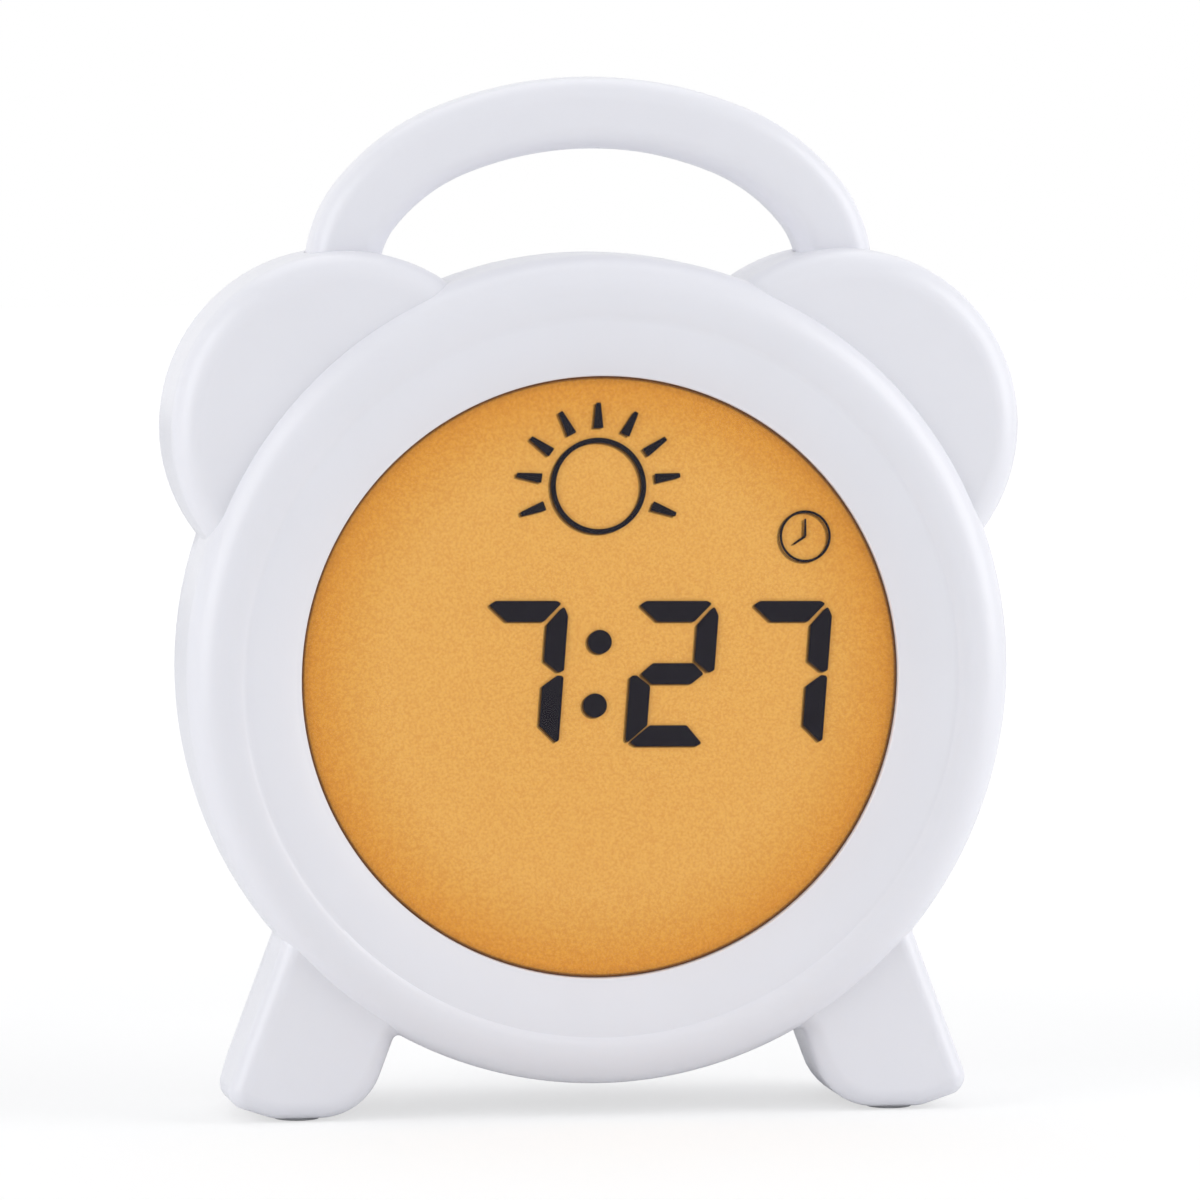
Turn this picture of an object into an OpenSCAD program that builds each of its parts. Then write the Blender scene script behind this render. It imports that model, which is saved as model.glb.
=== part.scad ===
// Kids alarm clock with a night light: a round face ring with two ears, two feet and a carry handle.
// The front and rear housings are moulded shells. The handle's tangs are trapped between them.
// The origin is on the table under the middle of the clock. The face looks along -Y, and +Z is up.

/* [Face ring] */
// Outer diameter of the face ring
face_d = 128; // [122:1:134]
// Height of the ring's centre above the table
face_h = 69; // [67:0.5:74]
// Depth from the ring's crest to the flat of the back
body_depth = 45; // [44:0.5:50]
// Depth of the front shell, from its crest to the parting line
front_depth = 15.5; // [14.5:0.25:17]
// Wall of both housings
wall = 2.2; // [1.8:0.1:2.6]
// Diameter of the opening round the display
window_d = 92.8; // [88:0.4:94]
// How far the display's centre lies below the ring's centre
window_drop = 1; // [0:0.25:1.5]
// Radial width of the dished band between the opening and the crease
dish_w = 8.9; // [8.5:0.1:10]
// How far the opening's edge lies behind the crest
dish_depth = 2.9; // [2.2:0.1:3.4]
// Depth of the crease below the crest
crease_dip = 0.35; // [0.1:0.05:0.5]
// Radial width of the ring's outer shoulder
shoulder_w = 5.7; // [5:0.1:6.2]
// Depth of the ring's outer shoulder
shoulder_depth = 6; // [5:0.25:7]
// Thickness of the lip that the lens is glued behind
lip_t = 1.9; // [1.5:0.1:2.2]

/* [Back] */
// Diameter of the flat of the back
back_flat_d = 104; // [100:1:108]
// Depth of the cylindrical band behind the parting line, before the tub curves in
band_depth = 1; // [0.5:0.5:6]
// Depth of the alignment lip on each side of the parting line
lip_depth = 2; // [1.5:0.25:3]

/* [Ears] */
// Diameter of an ear
ear_d = 54.6; // [50:0.5:58]
// Distance of an ear's centre to the side of the ring's centre
ear_x = 38.7; // [38:0.1:41]
// Height of an ear's centre above the ring's centre
ear_z = 37.3; // [36:0.5:39]
// Depth of an ear's face behind the crest
ear_setback = 3; // [2:0.25:4]
// Thickness of an ear
ear_depth = 24; // [23:0.5:26]
// Rounding of an ear's edges
ear_edge = 4.5; // [3:0.25:5]

/* [Feet] */
// Distance from the middle to the centre of the outer round of a foot's sole
foot_outer_x = 49.4; // [48:0.2:51]
// Radius of that round
foot_outer_r = 7; // [6:0.5:8]
// Distance from the middle to the centre of a foot's inner corner
foot_inner_x = 43.5; // [42:0.5:45]
// Radius of a foot's inner corner
foot_inner_r = 10; // [9:0.5:10.5]
// Radius of the corner where a foot's outer side ends
foot_corner_r = 3; // [2.5:0.25:4]
// Height of that corner over the sole
foot_corner_lift = 1.5; // [0.5:0.25:2.5]
// Lean of a foot from the vertical, outwards at the bottom
foot_lean = 20.5; // [16:0.5:24]
// Length of a foot along its lean, up into the ring
foot_length = 22; // [19:0.5:24]
// Depth of a foot behind its face
foot_depth = 34; // [32:0.5:38]
// Rounding of a foot's front and rear edges
foot_edge = 3; // [2:0.25:4]
// How far a foot's outer side comes in at its rear
foot_outer_taper = 2.5; // [1.5:0.25:3]
// How far a foot's inner side comes in at its rear
foot_inner_taper = 5; // [4:0.25:5.5]
// Radius of a foot's outer corner at its rear
foot_rear_outer_r = 5; // [4.5:0.5:6]
// Radius of a foot's inner corner at its rear
foot_rear_inner_r = 6; // [5:0.5:7]
// Length of a foot along its lean at its rear
foot_rear_length = 30; // [27:0.5:32]

/* [Handle] */
// Width over the handle
handle_span = 88; // [85:0.5:92]
// Height over the whole clock
total_h = 160; // [158:0.5:163]
// Thickness of the handle seen from the front
handle_bar = 11; // [9:0.5:12]
// Thickness of the handle from front to back
handle_depth = 12; // [10:0.5:13]
// Rounding of the handle's section
handle_edge = 3.6; // [2:0.2:4]
// Bend radius of the handle's shoulders, at the middle of the bar
handle_side_r = 17; // [16:0.5:20]
// Angle through which each shoulder bends
handle_side_a = 39; // [36:1:40]
// Bend radius between the shoulders and the crown, at the middle of the bar
handle_mid_r = 32.5; // [30:0.5:36]
// Angle through which each of those bends turns
handle_mid_a = 29; // [26:1:32]
// Height of the handle's widest line above the ring's centre
handle_spring = 61; // [59:0.5:63]
// Length of the straight tang below that line
tang_length = 12; // [10:0.5:14]
// Distance of the tang's screw below that line
tang_screw_drop = 5.5; // [5:0.25:6]

/* [Display stack] */
// How far the lens lies behind the opening's edge
lens_recess = 0.4; // [0.3:0.1:1]
// Thickness of the lens's flange
lens_flange_t = 1.5; // [1:0.1:2]
// Width of the lens's flange
lens_flange_w = 2.6; // [2.2:0.1:3]
// Thickness of the adhesive ring
adhesive_t = 0.3; // [0.2:0.05:0.5]
// Thickness of the LCD's two glasses together
lcd_t = 2.2; // [1.8:0.1:2.6]
// Thickness of the diffuser sheet
diffuser_t = 0.5; // [0.3:0.1:0.8]
// Wall of the well that centres the display stack
well_wall = 1.8; // [1.4:0.1:2.2]
// Wall of the reflector tray
tray_wall = 1.5; // [1.2:0.1:1.8]
// Diameter of the tray's floor
tray_floor_d = 74; // [68:1:76]

/* [Boards] */
// Thickness of the circuit boards
board_t = 1.6; // [1.2:0.1:1.8]
// Diameter of the main board
board_d = 88; // [86:0.5:90]
// Inner radius of the crescent control board
crescent_in = 33; // [32:0.5:34]
// Outer radius of the crescent control board
crescent_out = 47.5; // [47:0.5:48.5]
// Radius of the arc that the buttons lie on
button_arc = 40; // [39:0.5:41]
// Angle between two neighbouring buttons
button_pitch = 22; // [20:0.5:23]
// Height of a tact switch's body
tact_h = 3.5; // [3:0.1:4]
// Side of a tact switch's body
tact_w = 6; // [5:0.5:6.5]

/* [Controls] */
// Diameter of a button's head
button_d = 8; // [7:0.5:9]
// How far a button stands out of the back
button_proud = 1; // [0.9:0.1:1.4]
// Travel of a button
button_travel = 0.8; // [0.4:0.1:0.8]
// Travel of the mode slider
slider_travel = 3; // [2:0.5:3.5]
// Width of the slider's thumb piece
slider_w = 3.8; // [3:0.2:4.4]

/* [Speaker] */
// Outer diameter of the speaker
speaker_d = 34; // [32:1:34]
// Height of the speaker's centre above the ring's centre
speaker_z = 13; // [12:0.5:13.5]
// Depth of the speaker, with its magnet
speaker_depth = 10.8; // [10:0.2:11.4]
// Width of a slot of the grille
slot_w = 2; // [1.4:0.2:2.4]
// Distance between two slots of the grille
slot_pitch = 3.8; // [3.4:0.2:4.4]

/* [Batteries] */
// Diameter of an AAA cell
cell_d = 10.5; // [10.3:0.1:10.6]
// Length of an AAA cell over its button
cell_l = 44.5; // [43.3:0.1:44.5]
// Distance between two cells' axes
cell_pitch = 11; // [10.8:0.1:11.4]
// Length of a contact spring under load
spring_l = 5; // [4:0.25:5.5]
// Wall of the battery bay
bay_wall = 2; // [1.6:0.1:2.2]
// Height of the bay's centre below the ring's centre
bay_drop = 24.9; // [24.5:0.1:25.5]
// Thickness of the battery door
door_t = 1.6; // [1.4:0.1:1.8]
// Reach of the door's tabs under the back
tab_reach = 2; // [1.5:0.25:2.2]

/* [Fasteners and pads] */
// Length of a housing screw below its head
screw_l = 16; // [14:0.5:17]
// Radius of a housing screw's shank
screw_r = 1.25; // [1:0.05:1.5]
// Radius of a foot pad
pad_r = 3.6; // [3:0.1:4]
// How far a foot pad stands out of its foot
pad_proud = 0.5; // [0.4:0.1:1]
// Depth of a foot pad's recess
pad_sunk = 0.9; // [0.6:0.1:1]

/* [Clearances] */
// Gap between two fixed pieces that are put together
gap = 0.15; // [0.1:0.05:0.2]
// Room behind the main board for its parts and plugs, up to the battery bay's floor
board_room = 7.8; // [7:0.2:9]
// Gap round a piece that moves or is loose
loose = 0.3; // [0.2:0.05:0.4]
// Radial gap of a button in its hole
run = 0.1; // [0.05:0.01:0.1]

/* [Hidden] */
$fn = 72;

// Colours
shell_c = "#f2f3f7";
tray_c = "#fbfbf8";
amber_c = "#e6a85a";
board_c = "#2e6b45";
steel_c = "#b9bcc2";
dark_c = "#2b2a2e";
rubber_c = "#8f9196";

// Depths along Y, from the face to the back
bay_floor_t = 1.5;
crest_y = -(body_depth + button_proud) / 2;
back_y = crest_y + body_depth;
split_y = crest_y + front_depth;
edge_y = crest_y + dish_depth;
seat_y = edge_y + lip_t;
lens_y = edge_y + lens_recess;
flange_y = seat_y + adhesive_t;
lcd_y = flange_y + lens_flange_t;
diffuser_y = lcd_y + lcd_t;
tray_y = diffuser_y + diffuser_t;
inner_y = back_y - wall;
cell_y = back_y - door_t - 0.35 - cell_d / 2;
bay_y = cell_y - cell_d / 2 - gap;
board_back_y = bay_y - bay_floor_t - board_room;
tray_back_y = board_back_y - board_t;
far = 60;

// Radii of the face
face_r = face_d / 2;
cavity_r = face_r - wall;
crest_r = face_r - shoulder_w;
crest_flat = 0.3;
window_r = window_d / 2;
crease_r = window_r + dish_w;
lens_r = window_r - gap;
flange_r = window_r + lens_flange_w - gap;
stack_r = flange_r - gap;
well_r = window_r + lens_flange_w + gap;
well_out_r = well_r + well_wall;
back_r = back_flat_d / 2;

// Ears and handle
ear_r = ear_d / 2;
ear_y = crest_y + ear_setback;
ear_back_y = ear_y + ear_depth;
handle_y = ear_y + ear_depth / 2 + 0.5;
tang_x = (handle_span - handle_bar) / 2;
arch_rise = total_h - face_h - handle_spring - handle_bar / 2;
full_bend_rise = 20;
// The crown's bend closes what the shoulders and the bends beside them leave, and the straight legs take up
// the rest of the height. A low arch has tighter bends
bend_way = min(1, arch_rise / full_bend_rise);
side_r = handle_side_r * bend_way;
mid_r = handle_mid_r * bend_way;
mid_end_a = handle_side_a + handle_mid_a;
crown_a = 90 - mid_end_a;
side_x = tang_x - side_r;
mid_x = side_x - (mid_r - side_r) * cos(handle_side_a);
crown_r = mid_r + mid_x / cos(mid_end_a);
mid_drop = (mid_r - side_r) * sin(handle_side_a);
crown_drop = (crown_r - mid_r) * sin(mid_end_a);
leg_l = arch_rise - crown_r + mid_drop + crown_drop;
core_l = 1;
core_inset = 0.5;

// Screws through the ears and the feet
head_r = 2.8;
head_h = 1.8;
boss_r = 4;
pilot_r = screw_r + 0.05;
clear_r = screw_r + 0.45;
head_seat_y = ear_back_y - head_h - 0.2;
screw_tip_y = head_seat_y - screw_l;
tang_hole_r = 2.75;
tang_screw_z = handle_spring - tang_screw_drop;
foot_screw_x = (foot_outer_x + foot_inner_x) / 2 - 2;
foot_screw_z = -(face_h - pad_proud - foot_inner_r - 3.5);

// Feet: each corner circle is [x, height, radius] at the front and the same at the rear. At the rear each
// side comes in by its taper, and the sole stays level
foot_z = pad_proud - face_h;
foot_back_y = ear_y + foot_depth;
foot_root_t = 1;
foot_end_t = 6;
foot_rear_outer_x = foot_outer_x
    + ((foot_outer_r - foot_rear_outer_r) * (1 + sin(foot_lean)) - foot_outer_taper) / cos(foot_lean);
foot_corner_x = foot_outer_x
    + (foot_outer_r - foot_corner_r + (foot_outer_r - foot_corner_r - foot_corner_lift) * sin(foot_lean))
    / cos(foot_lean);
foot_rear_inner_x = foot_inner_x
    - ((foot_inner_r - foot_rear_inner_r) * (1 - sin(foot_lean)) - foot_inner_taper) / cos(foot_lean);
// A circle on the floor line and the one at the other end of the foot, a length away along its lean
function foot_pair(x, r, length) = [
    [x, foot_z + r, r], [x - length * sin(foot_lean), foot_z + r + length * cos(foot_lean), r]
];
foot_spots = concat(
    foot_pair(foot_outer_x, foot_outer_r, foot_length), foot_pair(foot_inner_x, foot_inner_r, foot_length),
    [[foot_corner_x, foot_z + foot_corner_lift + foot_corner_r, foot_corner_r]]
);
foot_rear_spots = concat(
    foot_pair(foot_rear_outer_x, foot_rear_outer_r, foot_rear_length),
    foot_pair(foot_rear_inner_x, foot_rear_inner_r, foot_rear_length)
);
pad_x = (foot_outer_x + foot_inner_x) / 2;
pad_ys = [ear_y + foot_edge + pad_r + 0.3, foot_back_y - foot_edge - pad_r - 1.5];
rear_pad_way = (pad_ys[1] - split_y - foot_root_t) / (foot_depth - front_depth + ear_setback - foot_root_t - foot_end_t);
rear_pad_x = pad_x + rear_pad_way * ((foot_rear_outer_x + foot_rear_inner_x) / 2 - pad_x);

// Ribs inside the face ring, kept clear of the tray's lugs, the ribbon's gap and the handle's tangs
rib_t = 1.2;
rib_root = 0.4;
face_rib_y = seat_y + 3.6;
face_rib_angles = [0, 48, 90, 132, 180, 228, 248, 292, 312];

// Display stack
tray_flange_t = 1.8;
tray_flange_y = tray_y + 3.8;
lug_arc = well_out_r + 4;
lug_r = 4;
lug_angles = [20, 160, 200, 340];
small_screw_r = 0.95;
small_pilot_r = 1;
small_head_r = 2.1;
small_head_h = 1.3;
tray_screw_l = 5.8;
board_screw_l = 5.6;
control_screw_l = 6.6;
hole_spare = 0.5;
ribbon_w = 24;
ribbon_t = 0.3;
ledge = 1.8;
post_arc = 41;
post_r = 2.8;
post_angles = [45, 135, 225, 315];
led_arc = 24;
led_size = [3.2, 1.6, 2.8];
led_count = 8;
// The LEDs' places on the board, seen from the front
led_places = concat([[0, 0]], [for (i = [0:led_count - 1]) polar(led_arc, i * 360 / led_count)]);

// Boxy parts on the board's back, as [x, height above the ring's centre, width, height, thickness]
crystal = [-5, 21.5, 8, 3, 3];
coil = [-19, -16, 6, 6, 3.2];
resistors = [for (i = [0:3]) [4.8 + 3 * i, 23.5, 1.6, 3, 0.6]];
// Round ones, as [x, height above the ring's centre, radius, thickness]
resin_cap = [-17, 8, 6.5, 1.8];
capacitors = [for (x = [10, 17]) [x, -14, 2.5, 5.5]];
// Where the cables and leads plug in, as [x, height above the ring's centre], and their sockets' sizes
link_z = 38;
lead_plug = [0, -30];
lead_plug_size = [6.8, 4.8];
speaker_plug = [24, 13];
speaker_plug_size = [4.8, 6];
plug_h = 5;
socket_size = [18, 3.2];
socket_h = 2.2;

// Control board, buttons and slider
control_back_y = inner_y - 8.1;
control_front_y = control_back_y - board_t;
control_low = -6;
control_boss_arc = button_arc + 4.8;
control_boss_r = 2.5;
control_boss_angles = [18, 46, 90, 134, 162];
button_angles = [for (i = [-2.5:2.5]) 90 - i * button_pitch];
button_r = button_d / 2;
button_flange_w = 1.2;
button_flange_t = 1.4;
button_flange_y = inner_y - loose - button_flange_t;
plunger_r = 1.75;
plunger_top_y = control_back_y + tact_h + button_travel + 0.4;
plunger_base_y = plunger_top_y - 2.5;
slider_z = 2;
slider_h = 4;
slider_plate_t = 1.2;
slider_y = inner_y - loose - slider_plate_t;
// The slider and its actuator rest at the low end of their travel
slider_rest_z = slider_z - slider_travel / 2;
slide_size = [3.8, 3.5, 9];
actuator_w = 1.6;
usb_size = [2.6, 10, 7.6];
usb_wall = 0.3;

// Speaker
speaker_r = speaker_d / 2;
gasket_t = 0.8;
speaker_y = inner_y - gasket_t;
speaker_rim = 3.5;
speaker_plate_t = 0.8;
magnet_h = 4;
magnet_r = 9;
speaker_end_y = speaker_y - speaker_depth;
speaker_boss_arc = speaker_r + 2.4;
speaker_boss_r = 2.2;
speaker_angles = [90, 210, 330];

// Battery bay, centred on the bay's axis
bay_plate_t = 0.4;
bay_l = cell_l + spring_l + 2 * bay_plate_t;
bay_h = 3 * cell_pitch + 1.6;
door_y = back_y - door_t;
door_l = bay_l + 2 * bay_wall + 0.2;
door_h = bay_h + 2.4;
door_corner = 4;
door_hinge_x = -door_l / 2 - loose / 2;
tab_w = 7;
tab_t = 1.4;
tab_y = inner_y - 0.25 - tab_t;
tab_z = cell_pitch / 2;
latch_w = 12;
latch_reach = 5;
latch_arm_t = 1.2;
latch_arm_depth = 4.5;
latch_bead_r = 0.35;
latch_inset = 0.75;
scoop_r = 6;
scoop_depth = 1;
grip_count = 4;
grip_w = 1;
grip_pitch = 2.4;
grip_l = 12;
grip_depth = 0.5;
grip_inset = 2;
floor_slot_w = 3.4;

// ---------- Helpers ----------

// Points of an elliptical arc
function arc(cx, cy, rx, ry, a0, a1, n = 8) =
    [for (i = [0:n]) let (a = a0 + (a1 - a0) * i / n) [cx + rx * cos(a), cy + ry * sin(a)]];

// Outline of a disc with rounded rims, as [radius, depth]. A rim's rounding stays within the disc's radius
function puck(r, y0, y1, e0, e1) = let (a = min(e0, 0.9 * r), b = min(e1, 0.9 * r)) concat(
    [[0, y0]],
    a > 0 ? arc(r - a, y0 + a, a, a, -90, 0, 5) : [[r, y0]],
    b > 0 ? arc(r - b, y1 - b, b, b, 0, 90, 5) : [[r, y1]],
    [[0, y1]]
);

// A solid of revolution about an axis along Y, from an outline of [radius, depth]
module turned(x = 0, z = 0)
    translate([x, 0, face_h + z]) rotate([-90, 0, 0]) rotate_extrude() children();

// A slab between two depths, from an outline seen from the front
module slab(y0, y1)
    translate([0, y1, face_h]) rotate([90, 0, 0]) linear_extrude(y1 - y0) children();

// A round bar along Y between two depths
module post(x, z, r, y0, y1)
    translate([x, y1, face_h + z]) rotate([90, 0, 0]) cylinder(h = y1 - y0, r = r);

// A box between two corners, with heights measured from the ring's centre
module block(x0, x1, y0, y1, z0, z1)
    translate([x0, y0, face_h + z0]) cube([x1 - x0, y1 - y0, z1 - z0]);

// Both sides of the clock
module both_sides() {
    children();
    mirror([1, 0, 0]) children();
}

// A rectangle with round corners, centred
module rounded_rect(w, h, r) {
    square([w - 2 * r, h], center = true);
    square([w, h - 2 * r], center = true);
    for (x = [-1, 1], y = [-1, 1]) translate([x * (w / 2 - r), y * (h / 2 - r)]) circle(r);
}

// A place on a circle, given its radius and angle
function polar(r, a) = [r * cos(a), r * sin(a)];

// A pan-head screw along Y: its head's underside at y, its shank towards the front
module screw(p, y, shank_r, length, cap_r, cap_h) {
    post(p[0], p[1], cap_r, y, y + cap_h);
    post(p[0], p[1], shank_r, y - length, y);
}

// A round wire through a list of points
module wire(points, r) {
    for (i = [0:len(points) - 2]) {
        v = points[i + 1] - points[i];
        translate(points[i] + [0, 0, face_h])
            rotate([0, acos(v[2] / norm(v)), atan2(v[1], v[0])])
                cylinder(h = norm(v), r = r, $fn = 24);
    }
    for (i = [1:len(points) - 2]) translate(points[i] + [0, 0, face_h]) sphere(r, $fn = 24);
}

// ---------- Outer forms ----------

module ring_front() {
    turned() polygon(concat(
        [[0, crest_y]],
        arc(crest_r, crest_y + shoulder_depth, shoulder_w, shoulder_depth, -90, 0, 10),
        [[face_r, split_y], [0, split_y]]
    ));
}

// The dished band and the opening, cut about the display's own axis
module dish_cut() {
    rise = dish_depth - crease_dip;
    cut_r = crest_r - window_drop - crest_flat;
    lap = cut_r - crease_r;
    dish_r = (pow(dish_w, 2) + pow(rise, 2)) / (2 * rise);
    dish_a = asin((dish_w - 0.6) / dish_r);
    roll_r = (pow(lap, 2) + pow(crease_dip, 2)) / (2 * crease_dip);
    roll_a = asin(lap / roll_r);
    turned(z = -window_drop) polygon(concat(
        [[0, crest_y - 1], [cut_r, crest_y - 1]],
        arc(cut_r, crest_y + roll_r, roll_r, roll_r, -90, -90 - roll_a, 4),
        arc(crease_r, crest_y + crease_dip + dish_r, dish_r, dish_r, -90, -90 - dish_a, 8),
        [[window_r, edge_y + 0.5], [window_r, split_y + far], [0, split_y + far]]
    ));
}

module ring_front_cavity() {
    turned() polygon(concat(
        [[0, seat_y], [well_out_r + window_drop + 0.4, seat_y], [crease_r + 1, crest_y + wall]],
        arc(crest_r, crest_y + shoulder_depth, shoulder_w - wall, shoulder_depth - wall, -90, 0, 6),
        [[cavity_r, split_y + 1], [0, split_y + 1]]
    ));
}

// The tub's outline, taken in by the wall for its cavity
function tub(t) = concat(
    [[0, split_y - (t > 0 ? 1 : 0)], [face_r - t, split_y - (t > 0 ? 1 : 0)]],
    arc(back_r - t, split_y + band_depth, face_r - back_r, back_y - split_y - band_depth - t, 0, 90, 12),
    [[0, back_y - t]]
);

module ear(t, y0, y1, e0, e1)
    turned(ear_x, ear_z) polygon(puck(ear_r - t, y0, y1, e0, e1));

// A foot's outline circles swept from the face to the parting line
module foot_front(t)
    hull() for (s = foot_spots)
        turned(s[0], s[1], $fn = 40) polygon(puck(s[2] - t, ear_y + t, split_y, foot_edge, 0));

// From the parting line to the smaller rear end, on the same floor line
module foot_rear(t)
    hull() {
        for (s = foot_spots)
            turned(s[0], s[1], $fn = 40) polygon(puck(s[2] - t, split_y, split_y + foot_root_t, 0, 0));
        for (s = foot_rear_spots)
            turned(s[0], s[1], $fn = 40)
                polygon(puck(s[2] - t, foot_back_y - foot_end_t, foot_back_y - t, 0, foot_edge));
    }

// ---------- Housings ----------

module front_bosses() {
    both_sides() {
        post(tang_x, tang_screw_z, boss_r, ear_y + wall - 0.5, handle_y - handle_depth / 2 - gap);
        post(tang_x, tang_screw_z, tang_hole_r - gap, ear_y + wall, handle_y + handle_depth / 2 - loose);
        post(foot_screw_x, foot_screw_z, boss_r, ear_y + wall - 0.5, split_y);
    }
    for (a = lug_angles) {
        p = polar(lug_arc, a);
        post(p[0], p[1] - window_drop, lug_r - 0.8, crest_y + wall - 0.5, tray_flange_y);
    }
}

// Ribs between the well and the outer wall, one at each angle
module face_ribs() {
    for (a = face_rib_angles)
        translate([0, 0, face_h]) rotate([0, -a, 0]) translate([0, 0, -rib_t / 2])
            linear_extrude(rib_t) polygon(concat(
                [[well_out_r - window_drop * sin(a) - rib_root, face_rib_y], [cavity_r + rib_root, face_rib_y]],
                arc(crest_r, crest_y + shoulder_depth, shoulder_w - wall + rib_root,
                    -(shoulder_depth - wall + rib_root), 0, 90, 4),
                [[crease_r + 1, crest_y + wall - rib_root], [well_out_r + 1, seat_y - rib_root],
                    [well_out_r - window_drop * sin(a) - rib_root, seat_y - rib_root]]
            ));
}

module front_housing() color(shell_c) difference() {
    union() {
        difference() {
            union() {
                ring_front();
                both_sides() {
                    ear(0, ear_y, split_y, ear_edge, 0);
                    foot_front(0);
                }
            }
            ring_front_cavity();
            both_sides() {
                ear(wall, ear_y + wall, split_y + 1, ear_edge - wall / 2, 0);
                foot_front(wall);
            }
        }
        turned(z = -window_drop) difference() {
            translate([0, seat_y - 0.5]) square([well_out_r, tray_flange_y - seat_y + 0.5]);
            translate([0, seat_y]) square([well_r, far]);
        }
        front_bosses();
        face_ribs();
    }
    dish_cut();
    carry_handle_form(gap);
    both_sides() {
        post(tang_x, tang_screw_z, pilot_r, screw_tip_y - 0.5, far);
        post(foot_screw_x, foot_screw_z, pilot_r, screw_tip_y - 0.5, far);
        translate([pad_x, pad_ys[0], 0]) cylinder(h = pad_proud + pad_sunk, r = pad_r + gap);
    }
    for (a = lug_angles) {
        p = polar(lug_arc, a);
        post(p[0], p[1] - window_drop, small_pilot_r,
            tray_flange_y + tray_flange_t - tray_screw_l - hole_spare, far);
    }
    // Gap in the well for the ribbon
    block(-ribbon_w / 2 - 1, ribbon_w / 2 + 1, lcd_y + 0.3, tray_flange_y + 1, -well_out_r - 3, -well_r + 2);
}

// Rows of slots across the speaker
module grille_outline() {
    reach = speaker_r - speaker_rim - 1;
    rows = floor(reach / slot_pitch);
    for (i = [-rows:rows]) {
        half = sqrt(pow(reach, 2) - pow(i * slot_pitch, 2)) - slot_w / 2;
        translate([0, speaker_z + i * slot_pitch]) {
            square([2 * half, slot_w], center = true);
            for (s = [-1, 1]) translate([s * half, 0]) circle(slot_w / 2);
        }
    }
}

// The battery door seen from the back, grown by a clearance
module door_outline(c) {
    translate([0, -bay_drop]) {
        rounded_rect(door_l + 2 * c, door_h + 2 * c, door_corner);
        translate([door_l / 2 - 1, 0])
            rounded_rect(2 * (latch_reach + 1 + c), latch_w + 2 * c, 2.5);
    }
}

module rear_walls() {
    // Battery bay
    block(-bay_l / 2 - bay_wall, bay_l / 2 + bay_wall, bay_y - bay_floor_t, inner_y + 0.5,
        -bay_drop - bay_h / 2 - bay_wall, -bay_drop + bay_h / 2 + bay_wall);
    // Pocket of the door's latch
    block(bay_l / 2, door_l / 2 + latch_reach + 2.2, inner_y - latch_arm_depth - 1, inner_y + 0.5,
        -bay_drop - latch_w / 2 - 1.8, -bay_drop + latch_w / 2 + 1.8);
}

module rear_bosses() {
    both_sides() {
        post(tang_x, tang_screw_z, boss_r, handle_y + handle_depth / 2 + gap, ear_back_y - 0.5);
        post(foot_screw_x, foot_screw_z, boss_r + 0.8, split_y, foot_back_y - 3);
    }
    for (a = control_boss_angles) {
        p = polar(control_boss_arc, a);
        post(p[0], p[1], control_boss_r, control_back_y, inner_y + 0.5);
    }
    for (a = speaker_angles) {
        p = polar(speaker_boss_arc, a) + [0, speaker_z];
        post(p[0], p[1], speaker_boss_r, speaker_y - speaker_plate_t, inner_y + 0.5);
    }
}

// Lip segments that centre the rear shell in the front shell
module align_lip() {
    for (a = [[-16, 16], [74, 106], [164, 196], [254, 286]])
        translate([0, split_y - lip_depth, face_h]) rotate([-90, 0, 0])
            rotate_extrude(angle = a[1] - a[0], start = -a[1])
                translate([cavity_r - gap - 1.6, 0]) {
                    square([1.6, 2 * lip_depth]);
                    translate([0, lip_depth]) square([1.6 + 2 * gap, lip_depth]);
                }
}

module bay_ribs() {
    for (s = [-1, 1])
        block(-bay_l / 2 + 8, bay_l / 2 - 8, bay_y, bay_y + 1.8,
            -bay_drop + s * cell_pitch / 2 - 0.5, -bay_drop + s * cell_pitch / 2 + 0.5);
}

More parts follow.
